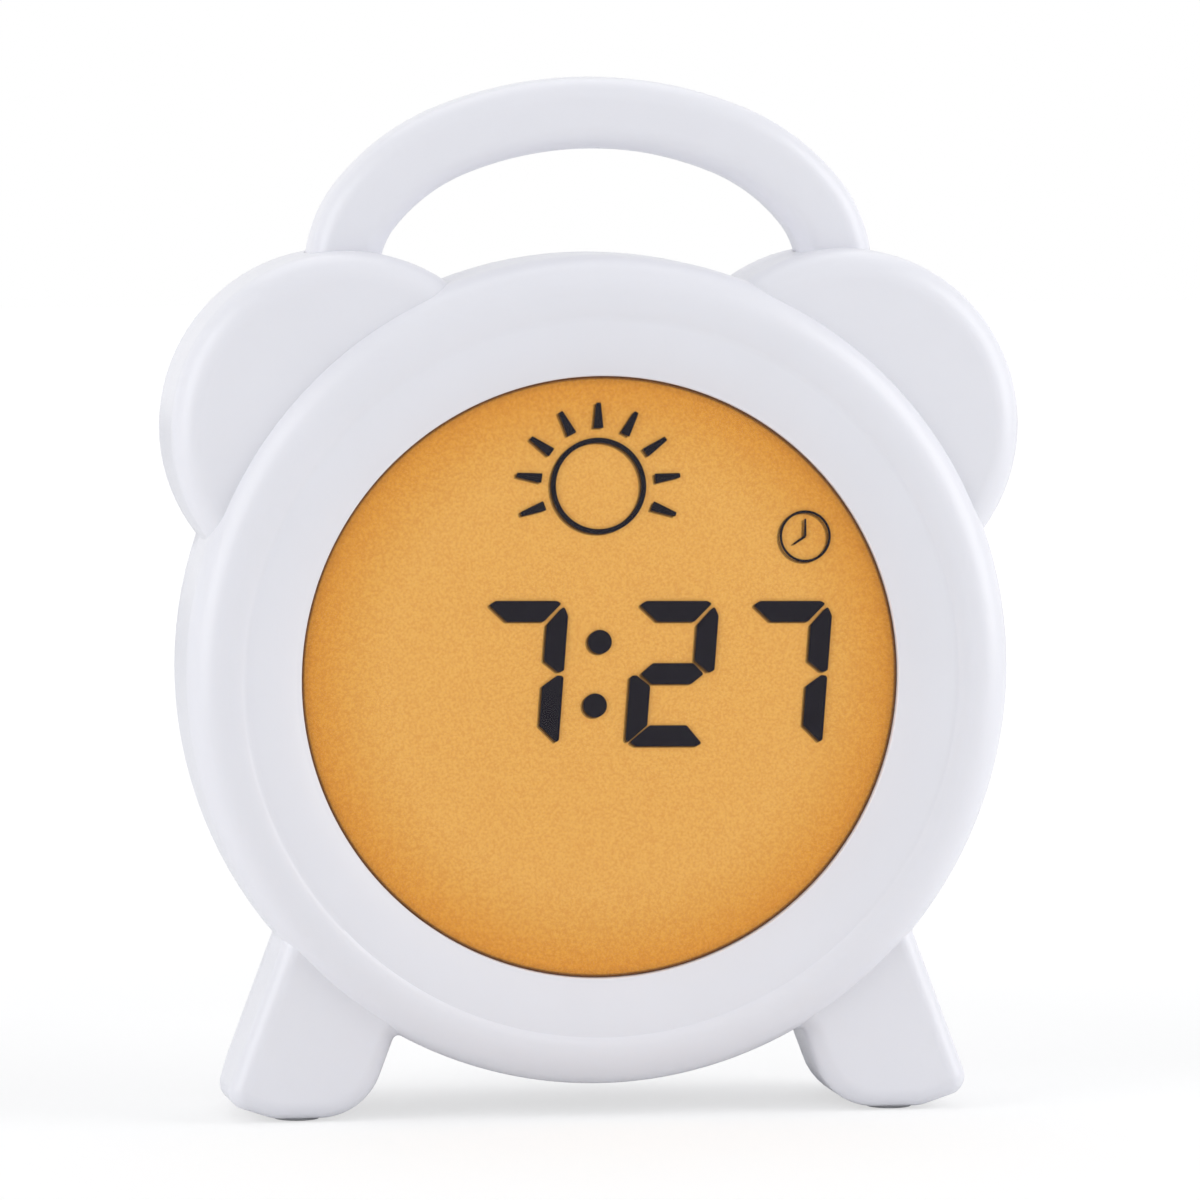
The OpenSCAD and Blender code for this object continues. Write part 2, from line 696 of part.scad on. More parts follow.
module rear_cuts() {
    // Battery bay and door
    difference() {
        block(-bay_l / 2, bay_l / 2, bay_y, back_y + 1, -bay_drop - bay_h / 2, -bay_drop + bay_h / 2);
        bay_ribs();
    }
    slab(door_y, back_y + 1) door_outline(loose);
    block(bay_l / 2 + bay_wall, door_l / 2 + latch_reach + loose, inner_y - latch_arm_depth, back_y,
        -bay_drop - latch_w / 2 - loose, -bay_drop + latch_w / 2 + loose);
    for (s = [-1, 1]) {
        z = -bay_drop + s * tab_z;
        lone_z = -bay_drop - s * cell_pitch;
        // Slots for the door's tabs, through the end wall and out to the back
        block(-bay_l / 2 - bay_wall - 1, -bay_l / 2 + 1, tab_y - 1.2, inner_y,
            z - tab_w / 2 - loose, z + tab_w / 2 + loose);
        block(-door_l / 2 - loose, -bay_l / 2 + 1, tab_y - 1.2, back_y,
            z - tab_w / 2 - loose, z + tab_w / 2 + loose);
        // Slot for the tail of a contact plate
        block(s * bay_l / 2 - 1, s * bay_l / 2 + 1, bay_y - bay_floor_t - 1, bay_y + 1,
            lone_z - floor_slot_w / 2 - 0.2, lone_z + floor_slot_w / 2 + 0.2);
    }
    // Thumb scoop beside the latch
    translate([door_l / 2 + latch_reach + 2.2, back_y + scoop_r - scoop_depth, face_h - bay_drop])
        cylinder(h = latch_w - 2, r = scoop_r, center = true);
    // Grille, buttons, slider and socket
    slab(inner_y - 1, back_y + 1) grille_outline();
    for (a = button_angles) {
        p = polar(button_arc, a);
        post(p[0], p[1], button_r + run, inner_y - 1, back_y + 1);
    }
    slab(inner_y - 1, back_y + 1) {
        translate([-button_arc, slider_z])
            rounded_rect(slider_w + 2 * gap, slider_h + slider_travel + 2 * loose, 0.8);
        translate([button_arc, slider_z])
            rounded_rect(usb_size[0] + 2 * loose, usb_size[2] + 2 * loose, 1);
    }
    // Screws and pads
    for (a = control_boss_angles) {
        p = polar(control_boss_arc, a);
        post(p[0], p[1], small_pilot_r, control_back_y - 1, control_front_y + control_screw_l + hole_spare);
    }
    for (a = speaker_angles) {
        p = polar(speaker_boss_arc, a) + [0, speaker_z];
        post(p[0], p[1], small_pilot_r, speaker_y - speaker_plate_t - 1, inner_y + 1);
    }
    both_sides() {
        for (p = [[tang_x, tang_screw_z], [foot_screw_x, foot_screw_z]]) {
            post(p[0], p[1], clear_r, split_y - 1, far);
            post(p[0], p[1], head_r + 0.4, head_seat_y, far);
        }
        translate([rear_pad_x, pad_ys[1], 0]) cylinder(h = pad_proud + pad_sunk, r = pad_r + gap);
    }
    carry_handle_form(gap);
}

module rear_housing() color(shell_c) difference() {
    union() {
        difference() {
            union() {
                turned() polygon(tub(0));
                both_sides() {
                    ear(0, split_y, ear_back_y, 0, ear_edge);
                    foot_rear(0);
                }
            }
            turned() polygon(tub(wall));
            both_sides() {
                ear(wall, split_y - 1, ear_back_y - wall, 0, ear_edge - wall / 2);
                foot_rear(wall);
            }
        }
        intersection() {
            turned() polygon(tub(0));
            rear_walls();
        }
        rear_bosses();
        align_lip();
    }
    rear_cuts();
}

// Moves a shape by whole millimetres and then by the rest, so that a long fraction keeps all its digits
module placed(v) {
    translate([for (c = v) floor(c)]) translate([for (c = v) c - floor(c)]) children();
}

// One bend of the handle about [x, z], from one angle to the next
module handle_bend(x, z, r, from_a, to_a, w, d) {
    placed([x, 0, z]) rotate([90, 0, 0]) rotate_extrude(angle = to_a - from_a, start = from_a)
        placed([r, 0]) rounded_rect(w, d, handle_edge);
}

// Core across the joint of two bends, so that they always make one piece
module handle_core(x, z, r, at_a, w, d) {
    translate([x + r * cos(at_a), 0, z + r * sin(at_a)]) rotate([0, -at_a, 0]) translate([0, 0, -core_l / 2])
        linear_extrude(core_l) rounded_rect(w - 2 * core_inset, d - 2 * core_inset, handle_edge - core_inset);
}

// The handle's arch of five bends and its two tangs, grown by a clearance
module carry_handle_form(c) {
    w = handle_bar + 2 * c;
    d = handle_depth + 2 * c;
    mid_z = leg_l - mid_drop;
    translate([0, handle_y, face_h + handle_spring]) {
        handle_bend(0, arch_rise - crown_r, crown_r, mid_end_a, mid_end_a + 2 * crown_a, w, d);
        both_sides() {
            handle_bend(mid_x, mid_z, mid_r, handle_side_a, mid_end_a, w, d);
            handle_bend(side_x, leg_l, side_r, 0, handle_side_a, w, d);
            handle_core(mid_x, mid_z, mid_r, mid_end_a, w, d);
            handle_core(mid_x, mid_z, mid_r, handle_side_a, w, d);
            placed([tang_x, 0, leg_l]) mirror([0, 0, 1])
                linear_extrude(tang_length + leg_l + c) rounded_rect(w, d, handle_edge);
        }
    }
}

module carry_handle() color(shell_c) difference() {
    carry_handle_form(0);
    both_sides() post(tang_x, tang_screw_z, tang_hole_r, -far, far);
}

// ---------- Display stack ----------

module display_lens() color(amber_c) turned(z = -window_drop) {
    translate([0, lens_y]) square([lens_r, flange_y - lens_y]);
    translate([0, flange_y]) square([flange_r, lens_flange_t]);
}

module lens_adhesive() color(dark_c) turned(z = -window_drop)
    translate([window_r + 0.3, seat_y]) square([lens_flange_w - 2 * gap - 0.3, adhesive_t]);

// Two glasses, the front one cut short at the bottom to bare the contact ledge
module lcd_panel() color("#c9b48a") translate([0, 0, -window_drop]) {
    slab(lcd_y, lcd_y + lcd_t / 2) difference() {
        circle(stack_r);
        translate([-far, -far - stack_r + ledge]) square([2 * far, far]);
    }
    slab(lcd_y + lcd_t / 2, lcd_y + lcd_t) circle(stack_r);
}

module diffuser_sheet() color(tray_c)
    translate([0, 0, -window_drop]) slab(diffuser_y, tray_y) circle(stack_r);

module reflector_tray() color(tray_c) translate([0, 0, -window_drop]) difference() {
    union() {
        turned() polygon([
            [0, tray_back_y - tray_wall], [tray_floor_d / 2, tray_back_y - tray_wall],
            [stack_r - tray_wall, tray_y], [stack_r, tray_y], [stack_r, tray_flange_y],
            [well_out_r, tray_flange_y], [well_out_r, tray_flange_y + tray_flange_t],
            [stack_r - 1, tray_flange_y + tray_flange_t], [tray_floor_d / 2 + tray_wall, tray_back_y],
            [0, tray_back_y]
        ]);
        slab(tray_flange_y, tray_flange_y + tray_flange_t) for (a = lug_angles)
            rotate(a) difference() {
                union() {
                    translate([lug_arc, 0]) circle(lug_r);
                    translate([stack_r - 1, -lug_r]) square([lug_arc - stack_r + 1, 2 * lug_r]);
                }
                circle(stack_r - 1);
            }
        for (a = post_angles) {
            p = polar(post_arc, a);
            post(p[0], p[1], post_r, tray_flange_y + tray_flange_t + 1, tray_back_y);
        }
    }
    for (a = lug_angles) {
        p = polar(lug_arc, a);
        post(p[0], p[1], small_screw_r + 0.2, -far, far);
    }
    for (a = post_angles) {
        p = polar(post_arc, a);
        post(p[0], p[1], small_pilot_r, board_back_y - board_screw_l - hole_spare, far);
    }
    for (p = led_places)
        block(p[0] - led_size[0] / 2 - 1, p[0] + led_size[0] / 2 + 1,
            tray_back_y - tray_wall - 1, tray_back_y + 1,
            p[1] - led_size[2] / 2 - 1, p[1] + led_size[2] / 2 + 1);
}

module tray_screws() color(steel_c) for (a = lug_angles) {
    p = polar(lug_arc, a) - [0, window_drop];
    screw(p, tray_flange_y + tray_flange_t, small_screw_r, tray_screw_l, small_head_r, small_head_h);
}

// ---------- Boards ----------

module main_board() color(board_c) translate([0, 0, -window_drop])
    slab(tray_back_y, board_back_y) difference() {
        circle(board_d / 2);
        for (a = post_angles) translate(polar(post_arc, a)) circle(small_screw_r + 0.2);
    }

module backlight_leds() color("#f7e8b8") translate([0, 0, -window_drop]) for (p = led_places)
    block(p[0] - led_size[0] / 2, p[0] + led_size[0] / 2, tray_back_y - led_size[1], tray_back_y,
        p[1] - led_size[2] / 2, p[1] + led_size[2] / 2);

module board_screws() color(steel_c) for (a = post_angles) {
    p = polar(post_arc, a) - [0, window_drop];
    screw(p, board_back_y, small_screw_r, board_screw_l, small_head_r, small_head_h);
}

// A boxy part soldered on the back of the main board: its place, its size seen from the back, its thickness
module soldered(p, size, h)
    block(p[0] - size[0] / 2, p[0] + size[0] / 2, board_back_y, board_back_y + h,
        p[1] - size[1] / 2, p[1] + size[1] / 2);

module board_components() color(dark_c) {
    soldered([0, link_z], socket_size, socket_h);
    soldered(lead_plug, lead_plug_size, plug_h);
    soldered(speaker_plug, speaker_plug_size, plug_h);
    for (c = concat([crystal, coil], resistors)) soldered([c[0], c[1]], [c[2], c[3]], c[4]);
    for (c = concat([resin_cap], capacitors)) post(c[0], c[1], c[2], board_back_y, board_back_y + c[3]);
}

// Flat cable from the LCD's ledge, round the tray, to the back of the main board
module lcd_ribbon() color("#c8722e") {
    ledge_y = lcd_y + lcd_t / 2;
    top = -window_drop - stack_r + ledge - 0.2;
    low = -window_drop - well_out_r - 0.5;
    lap = -window_drop - board_d / 2 + 3;
    half = ribbon_w / 2;
    block(-half, half, ledge_y - ribbon_t, ledge_y, low, top);
    block(-half, half, ledge_y - ribbon_t, board_back_y + ribbon_t, low - ribbon_t, low);
    block(-half, half, board_back_y, board_back_y + ribbon_t, low, lap);
}

module control_board() color(board_c) slab(control_front_y, control_back_y) difference() {
    circle(crescent_out);
    circle(crescent_in);
    translate([-far, control_low - 2 * far]) square([2 * far, 2 * far]);
    for (a = control_boss_angles) translate(polar(control_boss_arc, a)) circle(small_screw_r + 0.2);
}

module control_connector() color(dark_c)
    block(-socket_size[0] / 2, socket_size[0] / 2, control_front_y - socket_h, control_front_y,
        link_z - socket_size[1] / 2, link_z + socket_size[1] / 2);

module link_cable() color(tray_c)
    block(-socket_size[0] / 2 + 1, socket_size[0] / 2 - 1,
        board_back_y + socket_h, control_front_y - socket_h,
        link_z - ribbon_t / 2, link_z + ribbon_t / 2);

// These screws enter from the front, so their heads point to the front
module control_board_screws() color(steel_c) for (a = control_boss_angles) {
    p = polar(control_boss_arc, a);
    post(p[0], p[1], small_head_r, control_front_y - small_head_h, control_front_y);
    post(p[0], p[1], small_screw_r, control_front_y, control_front_y + control_screw_l);
}

// ---------- Controls ----------

module tact_switches() color(dark_c) for (a = button_angles) {
    p = polar(button_arc, a);
    difference() {
        block(p[0] - tact_w / 2, p[0] + tact_w / 2, control_back_y, control_back_y + tact_h,
            p[1] - tact_w / 2, p[1] + tact_w / 2);
        post(p[0], p[1], plunger_r + run, control_back_y + 0.5, far);
    }
}

// A button: rounded head, flange behind the wall and stem on the switch
module button(i) color(shell_c) {
    p = polar(button_arc, button_angles[i]);
    turned(p[0], p[1]) polygon(concat(
        [[0, plunger_top_y], [plunger_r, plunger_top_y], [plunger_r, button_flange_y],
            [button_r + button_flange_w, button_flange_y],
            [button_r + button_flange_w, button_flange_y + button_flange_t],
            [button_r, button_flange_y + button_flange_t]],
        arc(button_r - 0.8, back_y + button_proud - 0.8, 0.8, 0.8, 0, 90, 5),
        [[0, back_y + button_proud]]
    ));
}

module plunger(i) color("#d9d4c8") {
    p = polar(button_arc, button_angles[i]);
    post(p[0], p[1], plunger_r, plunger_base_y, plunger_top_y);
}

module time_button() button(0);
module alarm_button() button(1);
module sleep_button() button(2);
module light_button() button(3);
module minus_button() button(4);
module plus_button() button(5);
module time_plunger() plunger(0);
module alarm_plunger() plunger(1);
module sleep_plunger() plunger(2);
module light_plunger() plunger(3);
module minus_plunger() plunger(4);
module plus_plunger() plunger(5);

module slide_switch() color(steel_c) difference() {
    translate([-button_arc, control_back_y, face_h + slider_z])
        translate([-slide_size[0] / 2, 0, -slide_size[2] / 2]) cube(slide_size);
    reach = (actuator_w + slider_travel) / 2 + loose;
    block(-button_arc - actuator_w / 2 - gap, -button_arc + actuator_w / 2 + gap,
        control_back_y + 1, far, slider_z - reach, slider_z + reach);
}

module slide_actuator() color(dark_c)
    block(-button_arc - actuator_w / 2, -button_arc + actuator_w / 2, control_back_y + 1.3, slider_y - 0.6,
        slider_rest_z - actuator_w / 2, slider_rest_z + actuator_w / 2);

// The thumb piece, its plate behind the wall and the fork on the actuator
module mode_slider() color(shell_c) difference() {
    translate([-button_arc, 0, slider_rest_z]) {
        slab(slider_y, slider_y + slider_plate_t) rounded_rect(slider_w + 3, slider_h + 7, 0.8);
        slab(slider_y, back_y + 0.6) rounded_rect(slider_w, slider_h, 0.6);
        slab(slider_y - 1.8, slider_y) rounded_rect(slider_w, slider_h, 0.6);
    }
    half = actuator_w / 2 + gap;
    block(-button_arc - half, -button_arc + half, slider_y - 3, slider_y - 0.6,
        slider_rest_z - half, slider_rest_z + half);
}

module usb_socket() color(steel_c) difference() {
    translate([button_arc, 0, slider_z])
        slab(control_back_y, control_back_y + usb_size[1]) rounded_rect(usb_size[0], usb_size[2], 0.7);
    translate([button_arc, 0, slider_z])
        slab(control_back_y + 1, far)
            rounded_rect(usb_size[0] - 2 * usb_wall, usb_size[2] - 2 * usb_wall, 0.5);
}

module usb_tongue() color(dark_c)
    block(button_arc - 0.3, button_arc + 0.3, control_back_y + 1, control_back_y + usb_size[1] - 1.2,
        slider_z - usb_size[2] / 2 + 1.2, slider_z + usb_size[2] / 2 - 1.2);

// ---------- Speaker ----------

module speaker_frame() color(steel_c) turned(z = speaker_z) {
    rim = speaker_r - speaker_rim;
    plate_y = speaker_end_y + magnet_h;
    polygon([
        [0, plate_y], [magnet_r + 1, plate_y], [rim + 0.8, speaker_y - speaker_plate_t],
        [speaker_r, speaker_y - speaker_plate_t], [speaker_r, speaker_y], [rim, speaker_y],
        [rim, speaker_y - 1.3], [magnet_r, plate_y + speaker_plate_t], [0, plate_y + speaker_plate_t]
    ]);
}

module speaker_cone() color("#3a3a3c") turned(z = speaker_z) {
    rim = speaker_r - speaker_rim - 0.3;
    polygon(concat(
        [[0, speaker_y - 4.4], [4, speaker_y - 4.4], [rim, speaker_y - 0.6], [rim, speaker_y - 0.2]],
        arc(rim - 1.2, speaker_y - 0.2, 1.2, 0.7, 0, 180, 6),
        [[4.6, speaker_y - 3.4]],
        arc(0, speaker_y - 3.4, 4.6, 1.8, 0, 90, 5)
    ));
    // Voice coil
    translate([2.2, speaker_end_y + magnet_h + speaker_plate_t])
        square([1.4, speaker_depth - magnet_h - speaker_plate_t - 4.4]);
}

module speaker_magnet() color(dark_c) turned(z = speaker_z)
    translate([0, speaker_end_y]) square([magnet_r, magnet_h]);

module speaker_gasket() color(rubber_c) turned(z = speaker_z)
    translate([speaker_r - speaker_rim + 0.2, speaker_y]) square([speaker_rim - 0.2, gasket_t]);

module speaker_screws() color(steel_c) for (a = speaker_angles) {
    p = polar(speaker_boss_arc, a) + [0, speaker_z];
    top = speaker_y - speaker_plate_t;
    post(p[0], p[1], small_head_r + 0.9, top - small_head_h, top);
    post(p[0], p[1], small_screw_r, top, top + 1.8);
}

module speaker_leads() color("#b03030") for (s = [-1, 1]) {
    z = speaker_z + s * 1.4;
    y = speaker_end_y + magnet_h / 2;
    wire([[magnet_r + 0.1, y, z], [speaker_plug[0], y, z], [speaker_plug[0], board_back_y + plug_h, z]], 0.6);
}

// ---------- Batteries ----------

module battery_door() color(shell_c) {
    difference() {
        slab(door_y, back_y) door_outline(0);
        for (i = [0:grip_count - 1])
            block(door_l / 2 - grip_inset - i * grip_pitch - grip_w, door_l / 2 - grip_inset - i * grip_pitch,
                back_y - grip_depth, back_y + 1, -bay_drop - grip_l / 2, -bay_drop + grip_l / 2);
        // Thumb notch and the slits that free the latch
        for (z = [-bay_drop - latch_w / 2 + 1.6, -bay_drop + latch_w / 2 - 1.6])
            block(door_l / 2 - 5, door_l / 2 + latch_reach + 1, door_y - 1, back_y + 1, z - 0.5, z + 0.5);
    }
    // Latch arm with its bead, in the pocket beside the bay
    block(door_l / 2 + latch_reach - latch_inset - latch_arm_t, door_l / 2 + latch_reach - latch_inset,
        inner_y - latch_arm_depth + 0.6, door_y + 0.2,
        -bay_drop - latch_w / 2 + 2.4, -bay_drop + latch_w / 2 - 2.4);
    translate([door_l / 2 + latch_reach - latch_inset, inner_y - 2.2, face_h - bay_drop - latch_w / 2 + 2.4])
        cylinder(h = latch_w - 4.8, r = latch_bead_r, $fn = 24);
    // Tabs under the back
    for (s = [-1, 1]) {
        z = -bay_drop + s * tab_z;
        block(-door_l / 2, -bay_l / 2 - 0.2, tab_y, door_y + 0.2, z - tab_w / 2, z + tab_w / 2);
        block(-door_l / 2 - tab_reach, -door_l / 2 + 0.1, tab_y, tab_y + tab_t, z - tab_w / 2, z + tab_w / 2);
    }
}

// Cell i, from the top down. Cells 1 and 3 have their springs at the left, cell 2 at the right
function spring_side(i) = i == 2 ? 1 : -1;
function cell_z(i) = -bay_drop + (2 - i) * cell_pitch;

module cell(i) color(i == 2 ? "#4f7d4a" : "#3f6e9a") {
    nub = 0.8;
    s = spring_side(i);
    translate([-s * spring_l / 2, cell_y, face_h + cell_z(i)]) rotate([0, -s * 90, 0])
        translate([0, 0, -cell_l / 2]) {
            cylinder(h = cell_l - nub, r = cell_d / 2);
            cylinder(h = cell_l, r = 1.9);
        }
}

module battery_1() cell(1);
module battery_2() cell(2);
module battery_3() cell(3);

// One coil spring along X: a wire swept along a cone
module coil_spring(length, r0, r1, wire_r, turns) {
    steps = turns * 12;
    sides = 6;
    function centre(t) = let (r = r0 + (r1 - r0) * t) [
        wire_r + (length - 2 * wire_r) * t, r * cos(360 * turns * t), r * sin(360 * turns * t)
    ];
    function ring(k) = let (t = k / steps, a = 360 * turns * t, c = centre(t)) [
        for (j = [0:sides - 1]) let (b = 360 * j / sides)
            c + wire_r * [sin(b), cos(b) * cos(a), cos(b) * sin(a)]
    ];
    points = [for (k = [0:steps]) each ring(k)];
    body = [for (k = [0:steps - 1], j = [0:sides - 1]) let (n = (j + 1) % sides)
        [k * sides + j, k * sides + n, (k + 1) * sides + n, (k + 1) * sides + j]];
    ends = [[for (j = [sides - 1:-1:0]) j], [for (j = [0:sides - 1]) steps * sides + j]];
    polyhedron(points, concat(body, ends), convexity = 6);
}

module battery_springs() color(steel_c) for (i = [1:3]) {
    s = spring_side(i);
    translate([s * (bay_l / 2 - bay_plate_t), cell_y, face_h + cell_z(i)])
        rotate([0, s > 0 ? 180 : 0, 0]) coil_spring(spring_l, 3.6, 2.4, 0.4, 3);
}

// Nickel plates on the bay's end walls: two joined pairs and two with a tail through the floor
module contact_plates() color(steel_c) for (s = [-1, 1]) {
    x0 = s > 0 ? bay_l / 2 - bay_plate_t : -bay_l / 2;
    x1 = x0 + bay_plate_t;
    top_y = tab_y - 1.5;
    pair_z = -bay_drop + s * cell_pitch / 2;
    lone_z = -bay_drop - s * cell_pitch;
    block(x0, x1, bay_y + 0.4, top_y, pair_z - cell_pitch + 1, pair_z + cell_pitch - 1);
    block(x0, x1, bay_y + 0.4, top_y, lone_z - cell_pitch / 2 + 1, lone_z + cell_pitch / 2 - 0.7);
    block(x0, x1, bay_y - bay_floor_t - 1, bay_y + 1, lone_z - floor_slot_w / 2, lone_z + floor_slot_w / 2);
}

module battery_leads() color("#b03030") for (s = [-1, 1]) {
    x = s * (bay_l / 2 - bay_plate_t / 2);
    z = -bay_drop - s * cell_pitch;
    y = board_back_y + 3;
    plug_z = lead_plug[1] + s * 1.2;
    wire([[x, bay_y - bay_floor_t - 1, z], [x, y, z], [x, y, plug_z], [s * 3.4, y, plug_z]], 0.7);
}

// ---------- Pads and screws ----------

module foot_pads() color(rubber_c) both_sides() {
    translate([pad_x, pad_ys[0], 0]) cylinder(h = pad_proud + pad_sunk, r = pad_r);
    translate([rear_pad_x, pad_ys[1], 0]) cylinder(h = pad_proud + pad_sunk, r = pad_r);
}

module housing_screws() color(steel_c) both_sides()
    for (p = [[tang_x, tang_screw_z], [foot_screw_x, foot_screw_z]])
        screw(p, head_seat_y, screw_r, screw_l, head_r, head_h);

// ---------- Model ----------

front_housing();
rear_housing();
carry_handle();
display_lens();
lens_adhesive();
lcd_panel();
diffuser_sheet();
reflector_tray();
tray_screws();
main_board();
backlight_leds();
board_components();
board_screws();
lcd_ribbon();
control_board();
control_connector();
control_board_screws();
link_cable();
tact_switches();
time_button();
alarm_button();
sleep_button();
light_button();
minus_button();
plus_button();
time_plunger();
alarm_plunger();
sleep_plunger();
light_plunger();
minus_plunger();
plus_plunger();
slide_switch();
slide_actuator();
mode_slider();
usb_socket();
usb_tongue();
speaker_frame();
speaker_cone();
speaker_magnet();
speaker_gasket();
speaker_screws();
speaker_leads();
battery_door();
battery_1();
battery_2();
battery_3();
battery_springs();
contact_plates();
battery_leads();
foot_pads();
housing_screws();
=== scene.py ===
import logging
import math
from collections.abc import Callable, Iterable, Sequence
from dataclasses import dataclass, field, replace
from enum import Enum

import bmesh
import bpy
from mathutils import Euler, Matrix, Vector


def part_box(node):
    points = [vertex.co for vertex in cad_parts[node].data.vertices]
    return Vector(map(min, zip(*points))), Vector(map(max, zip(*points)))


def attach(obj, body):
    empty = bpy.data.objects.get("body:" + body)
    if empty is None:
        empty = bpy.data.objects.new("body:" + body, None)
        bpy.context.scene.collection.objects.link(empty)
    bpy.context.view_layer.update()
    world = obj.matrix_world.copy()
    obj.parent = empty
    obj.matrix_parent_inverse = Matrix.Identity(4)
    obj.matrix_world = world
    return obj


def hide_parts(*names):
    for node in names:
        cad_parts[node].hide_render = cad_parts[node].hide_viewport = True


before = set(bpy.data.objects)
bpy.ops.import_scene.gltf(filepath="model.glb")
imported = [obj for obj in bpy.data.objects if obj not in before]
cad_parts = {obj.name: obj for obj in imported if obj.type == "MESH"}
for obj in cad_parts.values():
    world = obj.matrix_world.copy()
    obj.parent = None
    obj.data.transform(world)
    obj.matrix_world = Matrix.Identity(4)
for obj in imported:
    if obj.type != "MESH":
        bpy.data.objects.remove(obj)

log = logging.getLogger("clock")

Point = tuple[float, float]
Colour = tuple[int, int, int]
Triple = tuple[float, float, float]
Socket = bpy.types.NodeSocket

MM = 0.001
TINY = 0.001 * MM
FLAT_ANGLE = 0.4
EDGE_SAMPLES = 6
BROAD_FACE_WEIGHT = 60
DISPLAY_R = 46.35 * MM
WHITE = (229, 229, 235)


class Body(Enum):
    """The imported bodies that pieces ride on."""

    CLOCK = "clock"
    TIME = "time_key"
    ALARM = "alarm_key"
    SLEEP = "sleep_key"
    LIGHT = "light_key"
    MINUS = "minus_key"
    PLUS = "plus_key"
    DOOR = "door"


class Icon(Enum):
    """The symbols on the six keys, by the key's name."""

    CLOCK = "time"
    BELL = "alarm"
    MOON = "sleep"
    LAMP = "light"
    MINUS = "minus"
    PLUS = "plus"


class Slot(Enum):
    """The record's material slots, by name."""

    SHELL = "white_plastic"
    LENS = "amber_lens"
    LCD = "lcd_glass"
    STEEL = "steel"
    RUBBER = "pad_rubber"


# ---------- Points and outlines ----------


def arc(centre: Point, radii: Point, start: float, stop: float, steps: int) -> list[Point]:
    """Gives the points of an elliptical arc.

    Args:
        centre: the ellipse's centre.
        radii: its two half axes.
        start: first angle, in degrees.
        stop: last angle, in degrees.
        steps: number of chords.

    Returns:
        The points from the first angle to the last.
    """
    turns = [math.radians(start + (stop - start) * i / steps) for i in range(steps + 1)]
    return [(centre[0] + radii[0] * math.cos(a), centre[1] + radii[1] * math.sin(a)) for a in turns]


def polar(radius: float, angle: float) -> Point:
    """Gives the point at a radius and an angle in degrees."""
    return radius * math.cos(math.radians(angle)), radius * math.sin(math.radians(angle))


def bearing(point: Point) -> float:
    """Gives the angle of a point about the origin, in degrees."""
    return math.degrees(math.atan2(point[1], point[0]))


def sweep_between(centre: Point, first: Point, last: Point, steps: int) -> list[Point]:
    """Gives the shorter arc about a centre from one point to another.

    Args:
        centre: the arc's centre.
        first: where it starts.
        last: where it ends.
        steps: number of chords.

    Returns:
        The arc's points, both ends among them.
    """
    radius = math.dist(centre, first)
    start = bearing((first[0] - centre[0], first[1] - centre[1]))
    stop = bearing((last[0] - centre[0], last[1] - centre[1]))
    turn = (stop - start + 180) % 360 - 180
    return arc(centre, (radius, radius), start, start + turn, steps)


def rounded_loop(width: float, depth: float, corner: float, steps: int) -> list[Point]:
    """Gives a centred rectangle's outline with round corners, counter-clockwise.

    Args:
        width: its size along the first axis.
        depth: its size along the second axis.
        corner: radius of its corners.
        steps: chords for each corner.

    Returns:
        The outline's points.
    """
    x, y = width / 2 - corner, depth / 2 - corner
    corners = [(x, y, 0), (-x, y, 90), (-x, -y, 180), (x, -y, 270)]
    return [p for cx, cy, a in corners for p in arc((cx, cy), (corner, corner), a, a + 90, steps)]


def bar_shape(start: Point, end: Point, width: float, tip: float = 1.0) -> list[Point]:
    """Gives the outline of a straight stroke.

    Args:
        start: the middle of its near end.
        end: the middle of its far end.
        width: its width at the near end.
        tip: its far end's width as a share of the near end's.

    Returns:
        Its four corners.
    """
    near, far = Vector(start), Vector(end)
    run = far - near
    across = Vector((-run.y, run.x)).normalized() * width / 2
    return [(c.x, c.y) for c in (near - across, far - across * tip, far + across * tip, near + across)]


def ring_halves(radius: float, width: float, steps: int) -> list[list[Point]]:
    """Gives the outlines of the two halves of a ring about the origin.

    Args:
        radius: the ring's outer radius.
        width: its width.
        steps: chords along each half.

    Returns:
        The two outlines.
    """
    outer, inner = (radius, radius), (radius - width, radius - width)
    turns = (0, 180), (180, 360)
    return [arc((0, 0), outer, a, b, steps) + arc((0, 0), inner, b, a, steps) for a, b in turns]


def cross_shape(width: float, length: float) -> list[Point]:
    """Gives the outline of an upright cross of two equal bars.

    Args:
        width: the bars' width.
        length: the bars' length.

    Returns:
        Its twelve corners.
    """
    w, l = width / 2, length / 2
    return [
        (w, w), (w, l), (-w, l), (-w, w), (-l, w), (-l, -w),
        (-w, -w), (-w, -l), (w, -l), (w, -w), (l, -w), (l, w),
    ]


def rounded(outline: Sequence[Point], radius: float, steps: int = 4) -> list[Point]:
    """Rounds the corners of an outline, less where an edge is short.

    Args:
        outline: the corners, in order.
        radius: the rounding's radius.
        steps: chords for each corner.

    Returns:
        The corners of the rounded outline.
    """
    made = []
    most = 0.45
    for i, corner in enumerate(outline):
        here = Vector(corner)
        before, after = Vector(outline[i - 1]) - here, Vector(outline[(i + 1) % len(outline)]) - here
        reach = min(radius / math.tan(before.angle(after) / 2), before.length * most, after.length * most)
        start, end = here + before.normalized() * reach, here + after.normalized() * reach
        for step in range(steps + 1):
            t = step / steps
            point = start * (1 - t) ** 2 + here * 2 * t * (1 - t) + end * t**2
            made.append((point.x, point.y))
    return made


# ---------- Solids ----------


def in_scene(name: str, data: bpy.types.ID) -> bpy.types.Object:
    """Puts a mesh, a lamp or a camera into the scene.

    Args:
        name: the object's name.
        data: what it shows.

    Returns:
        The new object.
    """
    made = bpy.data.objects.new(name, data)
    bpy.context.scene.collection.objects.link(made)
    return made


